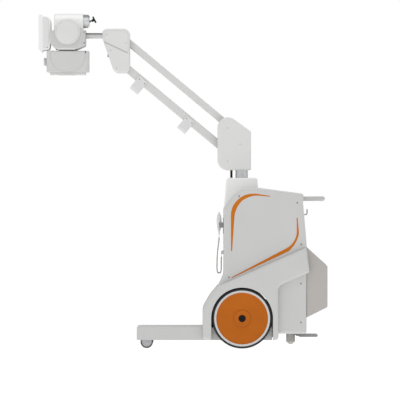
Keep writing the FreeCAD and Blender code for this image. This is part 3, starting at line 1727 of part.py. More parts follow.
def make_knobs():
    """Round adjusting knobs side by side on the front of the collimator."""
    seat = s.neck_x - s.collimator_length / 2 - s.seat_gap
    for label, side in (("collimator_knob_left", -1), ("collimator_knob_right", 1)):
        knob = new_body(label)
        bind(knob, "Placement.Base.y", side * s.knob_spread)
        bind(knob, "Placement.Base.z", s.knob_z)
        profile = sketch_on(knob, "XZ")
        outline(profile, [
            (seat, 0),
            (seat, s.knob_radius - 3),
            (seat - 4, s.knob_radius - 3),
            (seat - 4, s.knob_radius, 1),
            (seat - s.knob_length, s.knob_radius, 2),
            (seat - s.knob_length, 0),
        ])
        revolve(knob, profile, "H_Axis")


def check_document():
    """Stop before anything is written if a feature failed or cuts nothing."""
    doc.recompute()
    for item in doc.Objects:
        if "Invalid" in item.State or "Error" in item.State:
            raise ValueError(f"{item.Label} failed: {item.State}")
        if item.TypeId in ("PartDesign::Pocket", "PartDesign::Groove"):
            if item.Shape.Volume > item.BaseFeature.Shape.Volume - 0.1:
                raise ValueError(f"{item.Label} cuts nothing")
    for part in SUB_PARTS:
        if part.Shape.isNull() or not part.Shape.isValid() or not part.Shape.Solids:
            raise ValueError(f"{part.Label} is not a valid solid")


for piece in (make_tyre(), make_wheel_disc(), make_hub_cap(), make_caster_fork(), make_caster_wheel(), make_leg()):
    mirrored(piece, piece.Label.replace("left", "right"))
make_axle()
make_base_frame()
mirrored(make_side_panel(), "side_panel_right")
make_front_cover()
make_top_deck()
make_screen()
make_emergency_stop()
make_rear_cover()
make_turret_cover()
make_push_handle()
make_bin()
make_cord_hook()
make_rear_foot()
make_brake_pedal()
make_power_units()
make_hand_switch()
make_switch_holder()
make_curly_cord()
make_cord_inlet()
make_column()
make_column_cable()
make_rear_bracket()
make_pins("rear_pins", s.pivot_x, (s.pivot_low_z, s.pivot_low_z + s.pivot_rise), 66)
make_rear_covers()
make_bar("upper_bar", s.pivot_low_z + s.pivot_rise, s.upper_bar_height)
make_bar("lower_bar", s.pivot_low_z, s.lower_bar_height)
make_cable_loop("cable_loop_front", s.loop_front_distance)
make_cable_loop("cable_loop_rear", s.loop_rear_distance)
make_front_bracket()
make_pins("front_pins", front_pivot_x(), (front_pivot_z(), front_pivot_z() + s.pivot_rise), 66)
make_arm_shaft()
make_front_covers()
make_release_button()
make_trunnion_fork()
make_head_casting()
make_drum()
make_end_unit()
make_end_lever()
make_head_caps()
make_front_panel()
make_collimator()
make_knobs()

check_document()
for part in SUB_PARTS:
    part.Shape.exportStep(f"parts/{part.Label}.step")
    print(part.Label, round(part.Shape.Volume / 1000), "cm3", len(part.Shape.Solids), "solid")
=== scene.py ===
import math

import bmesh
import bpy
from mathutils import Matrix, Vector


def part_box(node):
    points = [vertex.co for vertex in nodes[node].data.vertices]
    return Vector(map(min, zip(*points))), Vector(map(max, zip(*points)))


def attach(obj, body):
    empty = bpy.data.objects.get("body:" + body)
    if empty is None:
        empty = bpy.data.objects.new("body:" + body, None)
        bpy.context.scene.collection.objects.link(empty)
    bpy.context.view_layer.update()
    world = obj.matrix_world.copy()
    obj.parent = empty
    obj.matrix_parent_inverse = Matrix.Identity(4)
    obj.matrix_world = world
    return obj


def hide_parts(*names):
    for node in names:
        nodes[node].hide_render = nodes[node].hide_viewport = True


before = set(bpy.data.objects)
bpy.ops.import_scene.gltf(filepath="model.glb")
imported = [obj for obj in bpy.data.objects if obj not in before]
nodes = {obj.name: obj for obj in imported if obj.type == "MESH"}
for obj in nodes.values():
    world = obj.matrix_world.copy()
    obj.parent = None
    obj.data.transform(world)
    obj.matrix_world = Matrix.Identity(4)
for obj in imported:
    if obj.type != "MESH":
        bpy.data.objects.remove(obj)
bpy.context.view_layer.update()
scene = bpy.context.scene

SIDES = ((-1, "left"), (1, "right"))

# Distances of outer faces from the machine's middle plane, then centres and radii in X and Z.

PANEL_Y = 0.240
ARM_COVER_Y = 0.065
ARM_FIELD_RISE = 0.0025
CASTING_Y = 0.118
COLLIMATOR_Y = 0.095
LOOP_Y = 0.0273
SKIN_LIFT = 0.00005
WHEEL_X, WHEEL_Z = 0.360, 0.180
HUB_CENTRE_RADIUS = 0.0215
RIM_INNER_RADIUS = 0.155
CASTER_X, CASTER_Z = -0.212, 0.0375
CASTER_HUB_RADIUS = 0.030


# Camera: 25 metres off to the machine's left, level with its side panels, looking along +Y.

CAMERA_PLACE = (0.108, -25.0, 0.889)
CAMERA_LENS = 371.90

camera_data = bpy.data.cameras.new("camera")
camera_data.sensor_width = 36.0
camera_data.lens = CAMERA_LENS
camera_data.clip_end = 100.0
camera = bpy.data.objects.new("camera", camera_data)
camera.location = CAMERA_PLACE
camera.rotation_euler = (math.radians(90), 0, 0)
scene.collection.objects.link(camera)
scene.camera = camera


# Materials. Every one is procedural, in the machine's own coordinates (metres).

MOTTLE = 0.975          # darkest mottling of a cover, as a share of its colour
CREASE_SHADE = 0.72      # colour of the painted shade in a crease, as a share of the cover's
CREASE_REACH = 0.012
TIGHT_CREASE = 0.002
RING_BLUR = 0.0004      # half the width of the step between two painted rings
DULL_SHEEN = 0.2


def linear(red, green, blue):
    """Scene-linear colour of an 8-bit display colour."""
    def channel(value):
        value /= 255
        return value / 12.92 if value <= 0.04045 else ((value + 0.055) / 1.055) ** 2.4
    return (channel(red), channel(green), channel(blue), 1.0)


class Finish:
    """A material with a Principled shader and short calls for its texture nodes."""

    def __init__(self, name, roughness, metallic=0.0, coat=0.0):
        self.material = bpy.data.materials.new(name)
        self.material.use_nodes = True
        self.tree = self.material.node_tree
        self.shader = self.tree.nodes["Principled BSDF"]
        self.shader.inputs["Roughness"].default_value = roughness
        self.shader.inputs["Metallic"].default_value = metallic
        self.shader.inputs["Coat Weight"].default_value = coat
        self.shader.inputs["Coat Roughness"].default_value = 0.15
        self.place = self.node("ShaderNodeTexCoord").outputs["Object"]

    def node(self, kind, **settings):
        made = self.tree.nodes.new(kind)
        for key, value in settings.items():
            setattr(made, key, value)
        return made

    def link(self, source, target):
        self.tree.links.new(source, target)

    def stretched(self, scale):
        """The coordinates stretched by three factors."""
        mapping = self.node("ShaderNodeMapping")
        mapping.inputs["Scale"].default_value = scale
        self.link(self.place, mapping.inputs["Vector"])
        return mapping.outputs["Vector"]

    def noise(self, scale, detail=4.0, vector=None):
        texture = self.node("ShaderNodeTexNoise")
        texture.inputs["Scale"].default_value = scale
        texture.inputs["Detail"].default_value = detail
        self.link(vector or self.place, texture.inputs["Vector"])
        return texture.outputs["Fac"]

    def ramp(self, factor, stops):
        """A colour ramp through (position, colour) stops."""
        made = self.node("ShaderNodeValToRGB")
        elements = made.color_ramp.elements
        while len(elements) < len(stops):
            elements.new(0.5)
        for element, (position, colour) in zip(elements, stops):
            element.position = position
            element.color = colour
        self.link(factor, made.inputs["Fac"])
        return made.outputs["Color"]

    def between(self, factor, first, second):
        """Run from one colour to another over the middle of a noise."""
        return self.ramp(factor, [(0.3, first), (0.7, second)])

    def mix(self, factor, first, second):
        """Blend two colours, each a socket or a plain colour."""
        made = self.node("ShaderNodeMix", data_type="RGBA")
        self.link(factor, made.inputs["Factor"])
        for socket, colour in ((made.inputs[6], first), (made.inputs[7], second)):
            if isinstance(colour, tuple):
                socket.default_value = colour
            else:
                self.link(colour, socket)
        return made.outputs[2]

    def shade_in_creases(self, colour, crease_shade, reach):
        """Painted shade: darken the colour where faces meet within a short reach."""
        shade = self.node("ShaderNodeAmbientOcclusion", samples=6)
        shade.inputs["Distance"].default_value = reach
        masked = self.ramp(shade.outputs["AO"], [(0.15, (0, 0, 0, 1)), (0.75, (1, 1, 1, 1))])
        return self.mix(masked, crease_shade, colour)

    def rings(self, x, z):
        """Steps over the distance from an axis along Y; each call gives 1 beyond a radius."""
        shift = self.node("ShaderNodeVectorMath", operation="SUBTRACT")
        shift.inputs[1].default_value = (x, 0, z)
        self.link(self.place, shift.inputs[0])
        flat = self.node("ShaderNodeVectorMath", operation="MULTIPLY")
        flat.inputs[1].default_value = (1, 0, 1)
        self.link(shift.outputs["Vector"], flat.inputs[0])
        reach = self.node("ShaderNodeVectorMath", operation="LENGTH")
        self.link(flat.outputs["Vector"], reach.inputs[0])

        def beyond(radius):
            edge = self.node("ShaderNodeMapRange")
            edge.inputs["From Min"].default_value = radius - RING_BLUR
            edge.inputs["From Max"].default_value = radius + RING_BLUR
            self.link(reach.outputs["Value"], edge.inputs["Value"])
            return edge.outputs["Result"]

        return beyond

    def above(self, low, high):
        """Run from 0 to 1 between two heights."""
        split = self.node("ShaderNodeSeparateXYZ")
        self.link(self.place, split.inputs["Vector"])
        edge = self.node("ShaderNodeMapRange")
        edge.inputs["From Min"].default_value = low
        edge.inputs["From Max"].default_value = high
        self.link(split.outputs["Z"], edge.inputs["Value"])
        return edge.outputs["Result"]

    def colour(self, source):
        self.link(source, self.shader.inputs["Base Color"])

    def roughness(self, factor, low, high):
        span = self.node("ShaderNodeMapRange")
        span.inputs["To Min"].default_value = low
        span.inputs["To Max"].default_value = high
        self.link(factor, span.inputs["Value"])
        self.link(span.outputs["Result"], self.shader.inputs["Roughness"])

    def bump(self, factor, distance, strength=1.0):
        made = self.node("ShaderNodeBump")
        made.inputs["Distance"].default_value = distance
        made.inputs["Strength"].default_value = strength
        self.link(factor, made.inputs["Height"])
        self.link(made.outputs["Normal"], self.shader.inputs["Normal"])


def shaded(colour, share):
    """A colour darkened, or lightened, to a share of itself."""
    return tuple(channel * share for channel in colour[:3]) + (1.0,)


def moulded(
    name, display, roughness=0.42, grain=1400.0, coat=0.0, depth=0.00006, crease=CREASE_REACH,
):
    """Moulded or sprayed cover: slight mottling, a fine orange-peel skin, painted shade in creases.
    """
    colour = linear(*display)
    finish = Finish(name, roughness, coat=coat)
    cloud = finish.noise(5.0, 3.0)
    body = finish.between(cloud, shaded(colour, MOTTLE), colour)
    # Painted shade: the cover darkens where faces meet.
    finish.colour(finish.shade_in_creases(body, shaded(colour, CREASE_SHADE), crease))
    finish.roughness(finish.noise(60.0), roughness - 0.05, roughness + 0.07)
    finish.bump(finish.noise(grain, 2.0), depth)
    return finish.material


def turned(name, dark, light, stretch, roughness=0.22):
    """Bare metal with fine tool marks along one direction."""
    finish = Finish(name, roughness, metallic=1.0)
    marks = finish.noise(420.0, 6.0, finish.stretched(stretch))
    finish.colour(finish.between(marks, linear(*dark), linear(*light)))
    finish.roughness(marks, roughness - 0.06, roughness + 0.1)
    finish.bump(marks, 0.00003)
    return finish.material


def reflection_banded_metal(name, light, dark, band, roughness):
    """Bare metal with a painted reflection: bright below and dark above, blended over a band of
    heights.
    """
    light = linear(*light)
    dark = linear(*dark)
    finish = Finish(name, roughness, metallic=0.6)
    upper = finish.above(*band)
    grain = finish.noise(90.0, 3.0)
    bright = finish.between(grain, shaded(light, 0.94), light)
    dull = finish.between(grain, shaded(dark, 0.9), dark)
    # Painted reflection: dark above the band, bright below.
    finish.colour(finish.mix(upper, bright, dull))
    finish.roughness(grain, roughness - 0.05, roughness + 0.08)
    finish.bump(finish.noise(700.0, 2.0), 0.00003)
    return finish.material


def rubber(name, display, roughness=0.7):
    """Moulded rubber: fine grain and a dull, dusty bloom."""
    colour = linear(*display)
    finish = Finish(name, roughness)
    bloom = finish.noise(28.0, 5.0)
    body = finish.ramp(bloom, [(0.35, colour), (0.75, shaded(colour, 1.45))])
    finish.colour(body)
    finish.roughness(bloom, roughness - 0.08, roughness + 0.1)
    finish.bump(finish.noise(1900.0, 3.0), 0.00012)
    return finish.material


def wheel_finish():
    """Orange lacquer on the dished disc, silver on the rim ring, a plain black centre."""
    finish = Finish("wheel_lacquer", 0.45)
    finish.shader.inputs["Specular IOR Level"].default_value = DULL_SHEEN
    beyond = finish.rings(WHEEL_X, WHEEL_Z)
    orange = linear(196, 104, 14)
    mottled = finish.between(finish.noise(9.0), shaded(orange, 0.9), orange)
    # Painted shade: the orange darkens where faces meet.
    creased = finish.shade_in_creases(mottled, shaded(orange, 0.55), 0.01)
    silver = finish.between(finish.noise(70.0), linear(206, 207, 208), linear(217, 218, 219))
    black = finish.between(finish.noise(60.0), linear(10, 9, 8), linear(16, 14, 12))
    disc = finish.mix(beyond(HUB_CENTRE_RADIUS), black, creased)
    finish.colour(finish.mix(beyond(RIM_INNER_RADIUS), disc, silver))
    finish.roughness(finish.noise(50.0), 0.38, 0.52)
    finish.bump(finish.noise(900.0, 2.0), 0.00005)
    return finish.material


def caster_finish():
    """Grey hub inside the dark tread of a caster wheel."""
    finish = Finish("caster_wheel_tread", 0.6)
    beyond = finish.rings(CASTER_X, CASTER_Z)
    hub = finish.between(finish.noise(60.0), linear(192, 194, 197), linear(204, 206, 209))
    tread = finish.between(finish.noise(90.0), linear(50, 51, 52), linear(66, 67, 68))
    finish.colour(finish.mix(beyond(CASTER_HUB_RADIUS), hub, tread))
    finish.roughness(finish.noise(50.0), 0.5, 0.7)
    finish.bump(finish.noise(1500.0, 2.0), 0.00008)
    return finish.material


# Heights over which the painted reflection on the bare metal of the shaft and of the drum's end
# turns dark.
SHAFT_BAND = (1.8875, 1.8905)
DRUM_END_BAND = (1.9885, 1.9935)

body_white = moulded("body_white", (218, 218, 216))
panel_white = moulded("panel_white", (212, 212, 211))
arm_white = moulded("arm_white", (230, 230, 228))
turret_white = moulded("turret_white", (249, 249, 248))
head_white = moulded("head_white", (216, 216, 215), roughness=0.38, crease=TIGHT_CREASE)
plate_white = moulded("plate_white", (248, 248, 248), roughness=0.4, crease=TIGHT_CREASE)
housing_white = moulded("housing_white", (232, 232, 231), roughness=0.4, crease=TIGHT_CREASE)
casting_white = moulded("casting_white", (209, 209, 208), roughness=0.38, crease=TIGHT_CREASE)
loop_white = moulded("loop_white", (229, 229, 229), roughness=0.45)
drum_white = moulded("drum_white", (245, 245, 244), roughness=0.28, coat=0.3)
leg_white = moulded("leg_white", (209, 209, 208), roughness=0.36, grain=2200)
bin_grey = moulded(
    "bin_grey", (191, 187, 183), roughness=0.55, grain=1700, depth=0.00012,
)
handle_grey = moulded("handle_grey", (200, 199, 198), roughness=0.5, grain=2600)
bar_white = moulded("bar_white", (221, 221, 220))
# Painted shade: a darker white on the eased step of the front cover's field.
step_painted_shade = moulded("step_painted_shade", (188, 188, 187), crease=TIGHT_CREASE)
# Painted shade: a darker white on the eased rim of the collimator's boss.
rim_painted_shade = moulded("rim_painted_shade", (203, 203, 202), crease=TIGHT_CREASE)
hook_grey = moulded("hook_grey", (176, 177, 176), roughness=0.5)
lever_black = moulded("lever_black", (20, 20, 20), roughness=0.5)
trim_grey = moulded("trim_grey", (150, 152, 152), roughness=0.5)
pale_grey = moulded("pale_grey", (205, 208, 210), roughness=0.45)
frame_grey = moulded("frame_grey", (120, 122, 124), roughness=0.5, grain=2600, depth=0.0001)
foot_grey = rubber("foot_grey", (172, 168, 164))
pedal_grey = moulded("pedal_grey", (157, 158, 157), roughness=0.4)
hub_grey = moulded("hub_grey", (170, 174, 177), roughness=0.4)
black_plastic = moulded("black_plastic", (38, 38, 38), roughness=0.45)
black_rubber = rubber("black_rubber", (34, 34, 34))
stop_red = moulded("stop_red", (176, 28, 22), roughness=0.3, coat=0.4)
orange_paint = moulded("orange_paint", (208, 118, 20), roughness=0.45)
orange_shader = orange_paint.node_tree.nodes["Principled BSDF"]
orange_shader.inputs["Specular IOR Level"].default_value = DULL_SHEEN
cord_grey = moulded("cord_grey", (206, 204, 200), roughness=0.55)
screw_grey = turned("screw_grey", (120, 120, 120), (170, 170, 170), (1, 1, 1), 0.35)
chrome = turned("chrome_column", (202, 205, 208), (236, 238, 240), (1, 1, 0.02), 0.16)
pin_metal = turned("pin_metal", (140, 140, 140), (196, 196, 196), (0.02, 1, 1), 0.2)
shaft_metal = reflection_banded_metal("shaft_metal", (212, 212, 212), (104, 104, 104), SHAFT_BAND, 0.3)
cast_metal = reflection_banded_metal("cast_metal", (224, 226, 227), (128, 128, 128), DRUM_END_BAND, 0.34)
box_metal = turned("box_metal", (110, 112, 114), (150, 152, 154), (0.05, 1, 1), 0.45)
wheel_paint = wheel_finish()
caster_tread = caster_finish()

screen_finish = Finish("dark_screen", 0.12, coat=0.6)
screen_finish.colour(
    screen_finish.between(screen_finish.noise(3.0), linear(14, 16, 20), linear(20, 23, 28)),
)
screen_finish.roughness(screen_finish.noise(30.0), 0.08, 0.18)
dark_screen = screen_finish.material

NODE_FINISH = {
    body_white: ["front_cover", "top_deck", "rear_cover"],
    turret_white: ["turret_cover"],
    panel_white: ["side_panel_left", "side_panel_right"],
    arm_white: [
        "rear_shell_left", "rear_shell_right", "front_shell_left", "front_shell_right",
        "head_caps",
    ],
    bar_white: ["upper_bar", "lower_bar"],
    head_white: ["collimator"],
    casting_white: ["head_casting"],
    drum_white: ["tube_drum"],
    leg_white: ["leg_left", "leg_right"],
    bin_grey: ["detector_bin"],
    handle_grey: ["push_handle"],
    plate_white: ["front_panel"],
    loop_white: ["hand_switch", "exposure_button", "cable_loop_front", "cable_loop_rear"],
    hook_grey: ["cord_hook"],
    pale_grey: ["cord_inlet", "collimator_knob_left", "collimator_knob_right"],
    trim_grey: ["switch_holder"],
    frame_grey: ["base_frame", "rear_bracket", "front_bracket", "trunnion_fork"],
    foot_grey: ["rear_foot"],
    pedal_grey: ["brake_pedal"],
    hub_grey: ["caster_fork_left", "caster_fork_right"],
    caster_tread: ["caster_wheel_left", "caster_wheel_right"],
    black_rubber: ["tyre_left", "tyre_right", "column_cable"],
    lever_black: ["end_lever"],
    black_plastic: ["arm_release_button"],
    stop_red: ["emergency_stop"],
    dark_screen: ["console_screen"],
    chrome: ["column_tube"],
    shaft_metal: ["arm_shaft"],
    pin_metal: ["rear_pins", "front_pins", "axle"],
    cast_metal: ["drum_end"],
    box_metal: ["power_unit", "battery_pack"],
    wheel_paint: ["wheel_disc_left", "wheel_disc_right", "hub_cap_left", "hub_cap_right"],
}
for finish, names in NODE_FINISH.items():
    for name in names:
        nodes[name].data.materials.clear()
        nodes[name].data.materials.append(finish)


# Pieces.


def add_mesh(name, shape, material, body, smooth_angle=35):
    """Turn a bmesh into a piece that rides on a body."""
    bmesh.ops.recalc_face_normals(shape, faces=shape.faces)
    mesh = bpy.data.meshes.new(name)
    shape.to_mesh(mesh)
    shape.free()
    mesh.shade_smooth()
    mesh.set_sharp_from_angle(angle=math.radians(smooth_angle))
    mesh.materials.append(material)
    piece = bpy.data.objects.new(name, mesh)
    scene.collection.objects.link(piece)
    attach(piece, body)
    return piece


def lathe(profile, centre, axis, steps=64):
    """Revolve (radius, distance along the axis) pairs about an axis through a centre."""
    shape = bmesh.new()
    axis = Vector(axis).normalized()
    side = axis.orthogonal().normalized()
    up = axis.cross(side)
    rings = []
    for radius, along in profile:
        middle = Vector(centre) + axis * along
        if radius < 1e-6:
            rings.append([shape.verts.new(middle)])
            continue
        turn = 2 * math.pi / steps
        rings.append([
            shape.verts.new(middle + (side * math.cos(i * turn) + up * math.sin(i * turn)) * radius)
            for i in range(steps)
        ])
    for ring, following in zip(rings, rings[1:]):
        for i in range(steps):
            corners = [ring[i % len(ring)], ring[(i + 1) % len(ring)]]
            corners += [following[(i + 1) % len(following)], following[i % len(following)]]
            corners = list(dict.fromkeys(corners))
            if len(corners) > 2:
                shape.faces.new(corners)
    return shape


def arc(centre, radius, start, end, steps=24):
    """Points of an arc, with its angles in degrees from +X towards +Z."""
    angles = [math.radians(start + (end - start) * i / steps) for i in range(steps + 1)]
    return [(centre[0] + radius * math.cos(a), centre[1] + radius * math.sin(a)) for a in angles]


def rounded(corners, steps=8):
    """Points of a closed outline; each corner is (u, v) or (u, v, radius)."""
    points = []
    for i, corner in enumerate(corners):
        here = Vector(corner[:2])
        if len(corner) == 2:
            points.append(here)
            continue
        back = Vector(corners[i - 1][:2]) - here
        ahead = Vector(corners[(i + 1) % len(corners)][:2]) - here
        half = back.angle(ahead) / 2
        reach = corner[2] / math.tan(half)
        back.normalize()
        ahead.normalize()
        middle = here + (back + ahead).normalized() * (corner[2] / math.sin(half))
        first = here + back * reach - middle
        last = here + ahead * reach - middle
        for k in range(steps + 1):
            spoke = first.lerp(last, k / steps).normalized() * corner[2]
            points.append(middle + spoke)
    return points


def slab(outline, start, end, bevel):
    """An outline in (X, Z) made into a block between two Y positions, with rounded rims."""
    shape = bmesh.new()
    face = shape.faces.new([shape.verts.new((x, start, z)) for x, z in outline])
    far = bmesh.ops.extrude_face_region(shape, geom=[face])["geom"]
    moved = [item for item in far if isinstance(item, bmesh.types.BMVert)]
    bmesh.ops.translate(shape, vec=(0, end - start, 0), verts=moved)
    rims = [edge for edge in shape.edges if abs(edge.verts[0].co.y - edge.verts[1].co.y) < 1e-6]
    bmesh.ops.bevel(
        shape, geom=rims, offset=bevel, offset_type="OFFSET", segments=4, profile=0.5,
        affect="EDGES", clamp_overlap=True,
    )
    return shape


def strip(upper, lower, side, section):
    """A strip between two lines in (X, Z); its section holds (share across, distance out)."""
    shape = bmesh.new()
    rows = []
    for (ux, uz), (lx, lz) in zip(upper, lower):
        rows.append([
            shape.verts.new((ux + (lx - ux) * share, side * out, uz + (lz - uz) * share))
            for share, out in section
        ])
    for row, following in zip(rows, rows[1:]):
        for i in range(len(section) - 1):
            shape.faces.new((row[i], row[i + 1], following[i + 1], following[i]))
    return shape


def ledge_section(high, low):
    """Section of a step that eases from one distance out to another."""
    return [
        (share, high + (low - high) * share * share * (3 - 2 * share))
        for share in (0.0, 0.15, 0.5, 0.85, 1.0)
    ]


# Curly cord of the hand switch.

CORD_ROUTE = [
    (0.2226, -0.110, 0.678),
    (0.2236, -0.111, 0.662),
    (0.2206, -0.114, 0.632),
    (0.2146, -0.119, 0.586),
    (0.2114, -0.123, 0.540),
    (0.2100, -0.125, 0.494),
    (0.2106, -0.125, 0.450),
    (0.2354, -0.095, 0.450),
    (0.2366, -0.094, 0.494),
    (0.2356, -0.094, 0.527),
    (0.2376, -0.095, 0.549),
    (0.2394, -0.095, 0.562),
]
COIL_RADIUS = 0.0037
COIL_PITCH = 0.0036
CORD_WIRE = 0.0024
COIL_POINTS = 14
CORD_TAIL = 0.012


def nurbs_line(name, points, bevel=0.0):
    """A smooth open spline with the points as its control points."""
    curve = bpy.data.curves.new(name, "CURVE")
    curve.dimensions = "3D"
    curve.bevel_depth = bevel
    curve.bevel_resolution = 3
    spline = curve.splines.new("NURBS")
    spline.points.add(len(points) - 1)
    for point, place in zip(spline.points, points):
        point.co = (*place, 1.0)
    spline.order_u = 3
    spline.use_endpoint_u = True
    return bpy.data.objects.new(name, curve)


def read_route(points):
    """Points along the middle line, read from the route's own spline."""
    line = nurbs_line("cord_route", points)
    line.data.resolution_u = 24
    scene.collection.objects.link(line)
    graph = bpy.context.evaluated_depsgraph_get()
    mesh = bpy.data.meshes.new_from_object(line.evaluated_get(graph))
    places = [vertex.co.copy() for vertex in mesh.vertices]
    bpy.data.meshes.remove(mesh)
    bpy.data.objects.remove(line)
    return places


def coil_along(places):
    """Helix points round a line of places, straight for a short tail at each end."""
    lengths = [0.0]
    for before, after in zip(places, places[1:]):
        lengths.append(lengths[-1] + (after - before).length)
    whole = lengths[-1]
    turns = round((whole - 2 * CORD_TAIL) / COIL_PITCH)
    step = (whole - 2 * CORD_TAIL) / (turns * COIL_POINTS)
    points = [places[0].copy()]
    side = (places[1] - places[0]).orthogonal().normalized()
    index = 0
    for i in range(turns * COIL_POINTS + 1):
        along = CORD_TAIL + i * step
        while index < len(lengths) - 2 and lengths[index + 1] < along:
            index += 1
        share = (along - lengths[index]) / (lengths[index + 1] - lengths[index])
        middle = places[index].lerp(places[index + 1], share)
        ahead = (places[index + 1] - places[index]).normalized()
        side = (side - ahead * side.dot(ahead)).normalized()
        out = Matrix.Rotation(2 * math.pi * i / COIL_POINTS, 3, ahead) @ side
        grow = min(1.0, i / COIL_POINTS, (turns * COIL_POINTS - i) / COIL_POINTS)
        points.append(middle + out * COIL_RADIUS * grow)
    points.append(places[-1].copy())
    return points


# The smooth coil is a little shorter than the line through its control points.
coil = coil_along(read_route(CORD_ROUTE))
cord = nurbs_line("curly_cord_coil", coil, CORD_WIRE / 2)
cord.data.resolution_u = 2
cord.data.materials.append(cord_grey)
scene.collection.objects.link(cord)
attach(cord, "chassis")
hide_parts("curly_cord")


# Orange bands on the side panels, drawn as an outer and an inner edge in (X, Z).

UPPER_OUTER = [
    (0.2934, 0.5826), (0.2934, 0.700), (0.2934, 0.794), (0.2975, 0.8297), (0.3094, 0.8595),
    (0.3362, 0.8922), (0.366, 0.9131), (0.3958, 0.9238), (0.4315, 0.9274), (0.4553, 0.9255),
    (0.5279, 0.9138),
]
UPPER_INNER = [
    (0.3005, 0.5826), (0.3085, 0.700), (0.3154, 0.794), (0.3224, 0.8238), (0.3362, 0.8535),
    (0.360, 0.8833), (0.3898, 0.9012), (0.4196, 0.9113), (0.4380, 0.9143), (0.4600, 0.9143),
    (0.5279, 0.9090),
]
LOWER_OUTER = [
    (0.6935, 0.7821), (0.6964, 0.7464), (0.7006, 0.6987), (0.6982, 0.6749), (0.6875, 0.6452),
    (0.6696, 0.6154), (0.6458, 0.5886), (0.622, 0.5735), (0.460, 0.4975), (0.2975, 0.4205),
]
LOWER_INNER = [
    (0.6863, 0.7821), (0.6875, 0.7464), (0.6875, 0.6987), (0.6845, 0.6749), (0.6726, 0.6452),
    (0.6547, 0.6213), (0.6279, 0.6005), (0.6041, 0.5885), (0.452, 0.5085), (0.2975, 0.4261),
]
BAND_STEPS = 8
BAND_THICKNESS = 0.0003


def smooth_line(points, steps=BAND_STEPS):
    """A Catmull-Rom line through the points."""
    ends = [points[0], *points, points[-1]]
    line = []
    for p0, p1, p2, p3 in zip(ends, ends[1:], ends[2:], ends[3:]):
        for i in range(steps):
            t = i / steps
            line.append(tuple(
                0.5 * (2 * b + (c - a) * t + (2 * a - 5 * b + 4 * c - d) * t * t
                       + (3 * b - a - 3 * c + d) * t ** 3)
                for a, b, c, d in zip(p0, p1, p2, p3)
            ))
    line.append(points[-1])
    return line


def add_band(name, outer, inner, side):
    """A thin painted band on a panel, with a rounded rim."""
    foot = PANEL_Y + SKIN_LIFT
    face = PANEL_Y + BAND_THICKNESS
    section = [(0, foot), (0.06, face), (0.94, face), (1, foot)]
    shape = strip(smooth_line(outer), smooth_line(inner), side, section)
    return add_mesh(name, shape, orange_paint, "chassis")


for side, word in SIDES:
    add_band(f"upper_band_{word}", UPPER_OUTER, UPPER_INNER, side)
    add_band(f"lower_band_{word}", LOWER_OUTER, LOWER_INNER, side)


# Small fasteners: a shallow ring, a domed head and a round socket.


def add_screw(name, place, normal, radius, body, material=screw_grey):
    """A screw head that stands on a face, with its radius without the ring."""
    head = radius * 0.35
    profile = [
        (radius * 1.25, 0.0), (radius * 1.25, 0.0002), (radius, 0.0003),
        (radius * 0.96, head * 0.6), (radius * 0.8, head), (radius * 0.5, head),
        (radius * 0.46, head * 0.3), (0.0, head * 0.25),
    ]
    shape = lathe(profile, place, normal, 24)
    return add_mesh(name, shape, material, body, 30)


PANEL_SCREWS = [
    (0.3428, 0.9119), (0.691, 0.8726), (0.7143, 0.6237),
    (0.2809, 0.4255), (0.7125, 0.3886), (0.7125, 0.1552),
]
REAR_COVER_SCREWS = [(0.2736, 1.3245), (0.350, 1.2245), (0.2754, 1.1227)]
FRONT_COVER_SCREWS = [
    (-0.4548, 1.8868, ARM_FIELD_RISE), (-0.3384, 1.8359, ARM_FIELD_RISE),
    (-0.4312, 1.7917, 0), (-0.3942, 1.685, 0),
]
HEAD_SCREWS = [(-0.5905, 1.9000), (-0.5899, 1.8351)]
COLLIMATOR_SCREWS = [(-0.7818, 1.7811), (-0.5836, 1.7799)]
LOOP_SCREWS = [(-0.258, 1.6193), (-0.2264, 1.592), (0.0273, 1.3809), (0.0595, 1.3547)]
PANEL_SCREW, COVER_SCREW, COLLIMATOR_SCREW, LOOP_SCREW = 0.0042, 0.0036, 0.0044, 0.003
for side, word in SIDES:
    normal = (0, side, 0)
    for i, (x, z) in enumerate(PANEL_SCREWS):
        place = (x, side * PANEL_Y, z)
        add_screw(f"panel_screw_{word}_{i}", place, normal, PANEL_SCREW, "chassis")
    for i, (x, z) in enumerate(REAR_COVER_SCREWS):
        place = (x, side * ARM_COVER_Y, z)
        add_screw(f"rear_cover_screw_{word}_{i}", place, normal, COVER_SCREW, "column", pale_grey)
    for i, (x, z, proud) in enumerate(FRONT_COVER_SCREWS):
        place = (x, side * (ARM_COVER_Y + proud), z)
        name = f"front_cover_screw_{word}_{i}"
        add_screw(name, place, normal, COVER_SCREW, "arm_head", pale_grey)
    for i, (x, z) in enumerate(COLLIMATOR_SCREWS):
        place = (x, side * COLLIMATOR_Y, z)
        name = f"collimator_screw_{word}_{i}"
        add_screw(name, place, normal, COLLIMATOR_SCREW, "collimator", black_plastic)
    for i, (x, z) in enumerate(HEAD_SCREWS):
        place = (x, side * CASTING_Y, z)
        add_screw(f"head_screw_{word}_{i}", place, normal, COVER_SCREW, "tube_head", trim_grey)
    for i, (x, z) in enumerate(LOOP_SCREWS):
        place = (x, side * LOOP_Y, z)
        add_screw(f"loop_screw_{word}_{i}", place, normal, LOOP_SCREW, "lower_bar", trim_grey)


# Tube head: round trunnion covers, the panel's housing and a lip under the casting.

CAP_X, CAP_Z = -0.689, 1.902
CAP_STEPS = 128
CAP_PROFILE = [
    (0.0, 0.0), (0.0758, 0.0), (0.0766, 0.0008), (0.0766, 0.0062), (0.0752, 0.0078),
    (0.0676, 0.0092), (0.0668, 0.0105), (0.0664, 0.0170), (0.0655, 0.0198),
    (0.0636, 0.0214), (0.0608, 0.0219), (0.0, 0.0220),
]
for side, word in SIDES:
    shape = lathe(CAP_PROFILE, (CAP_X, side * CASTING_Y, CAP_Z), (0, side, 0), CAP_STEPS)
    cap = add_mesh(f"trunnion_cover_{word}", shape, arm_white, "tube_head")
    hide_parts("head_caps")

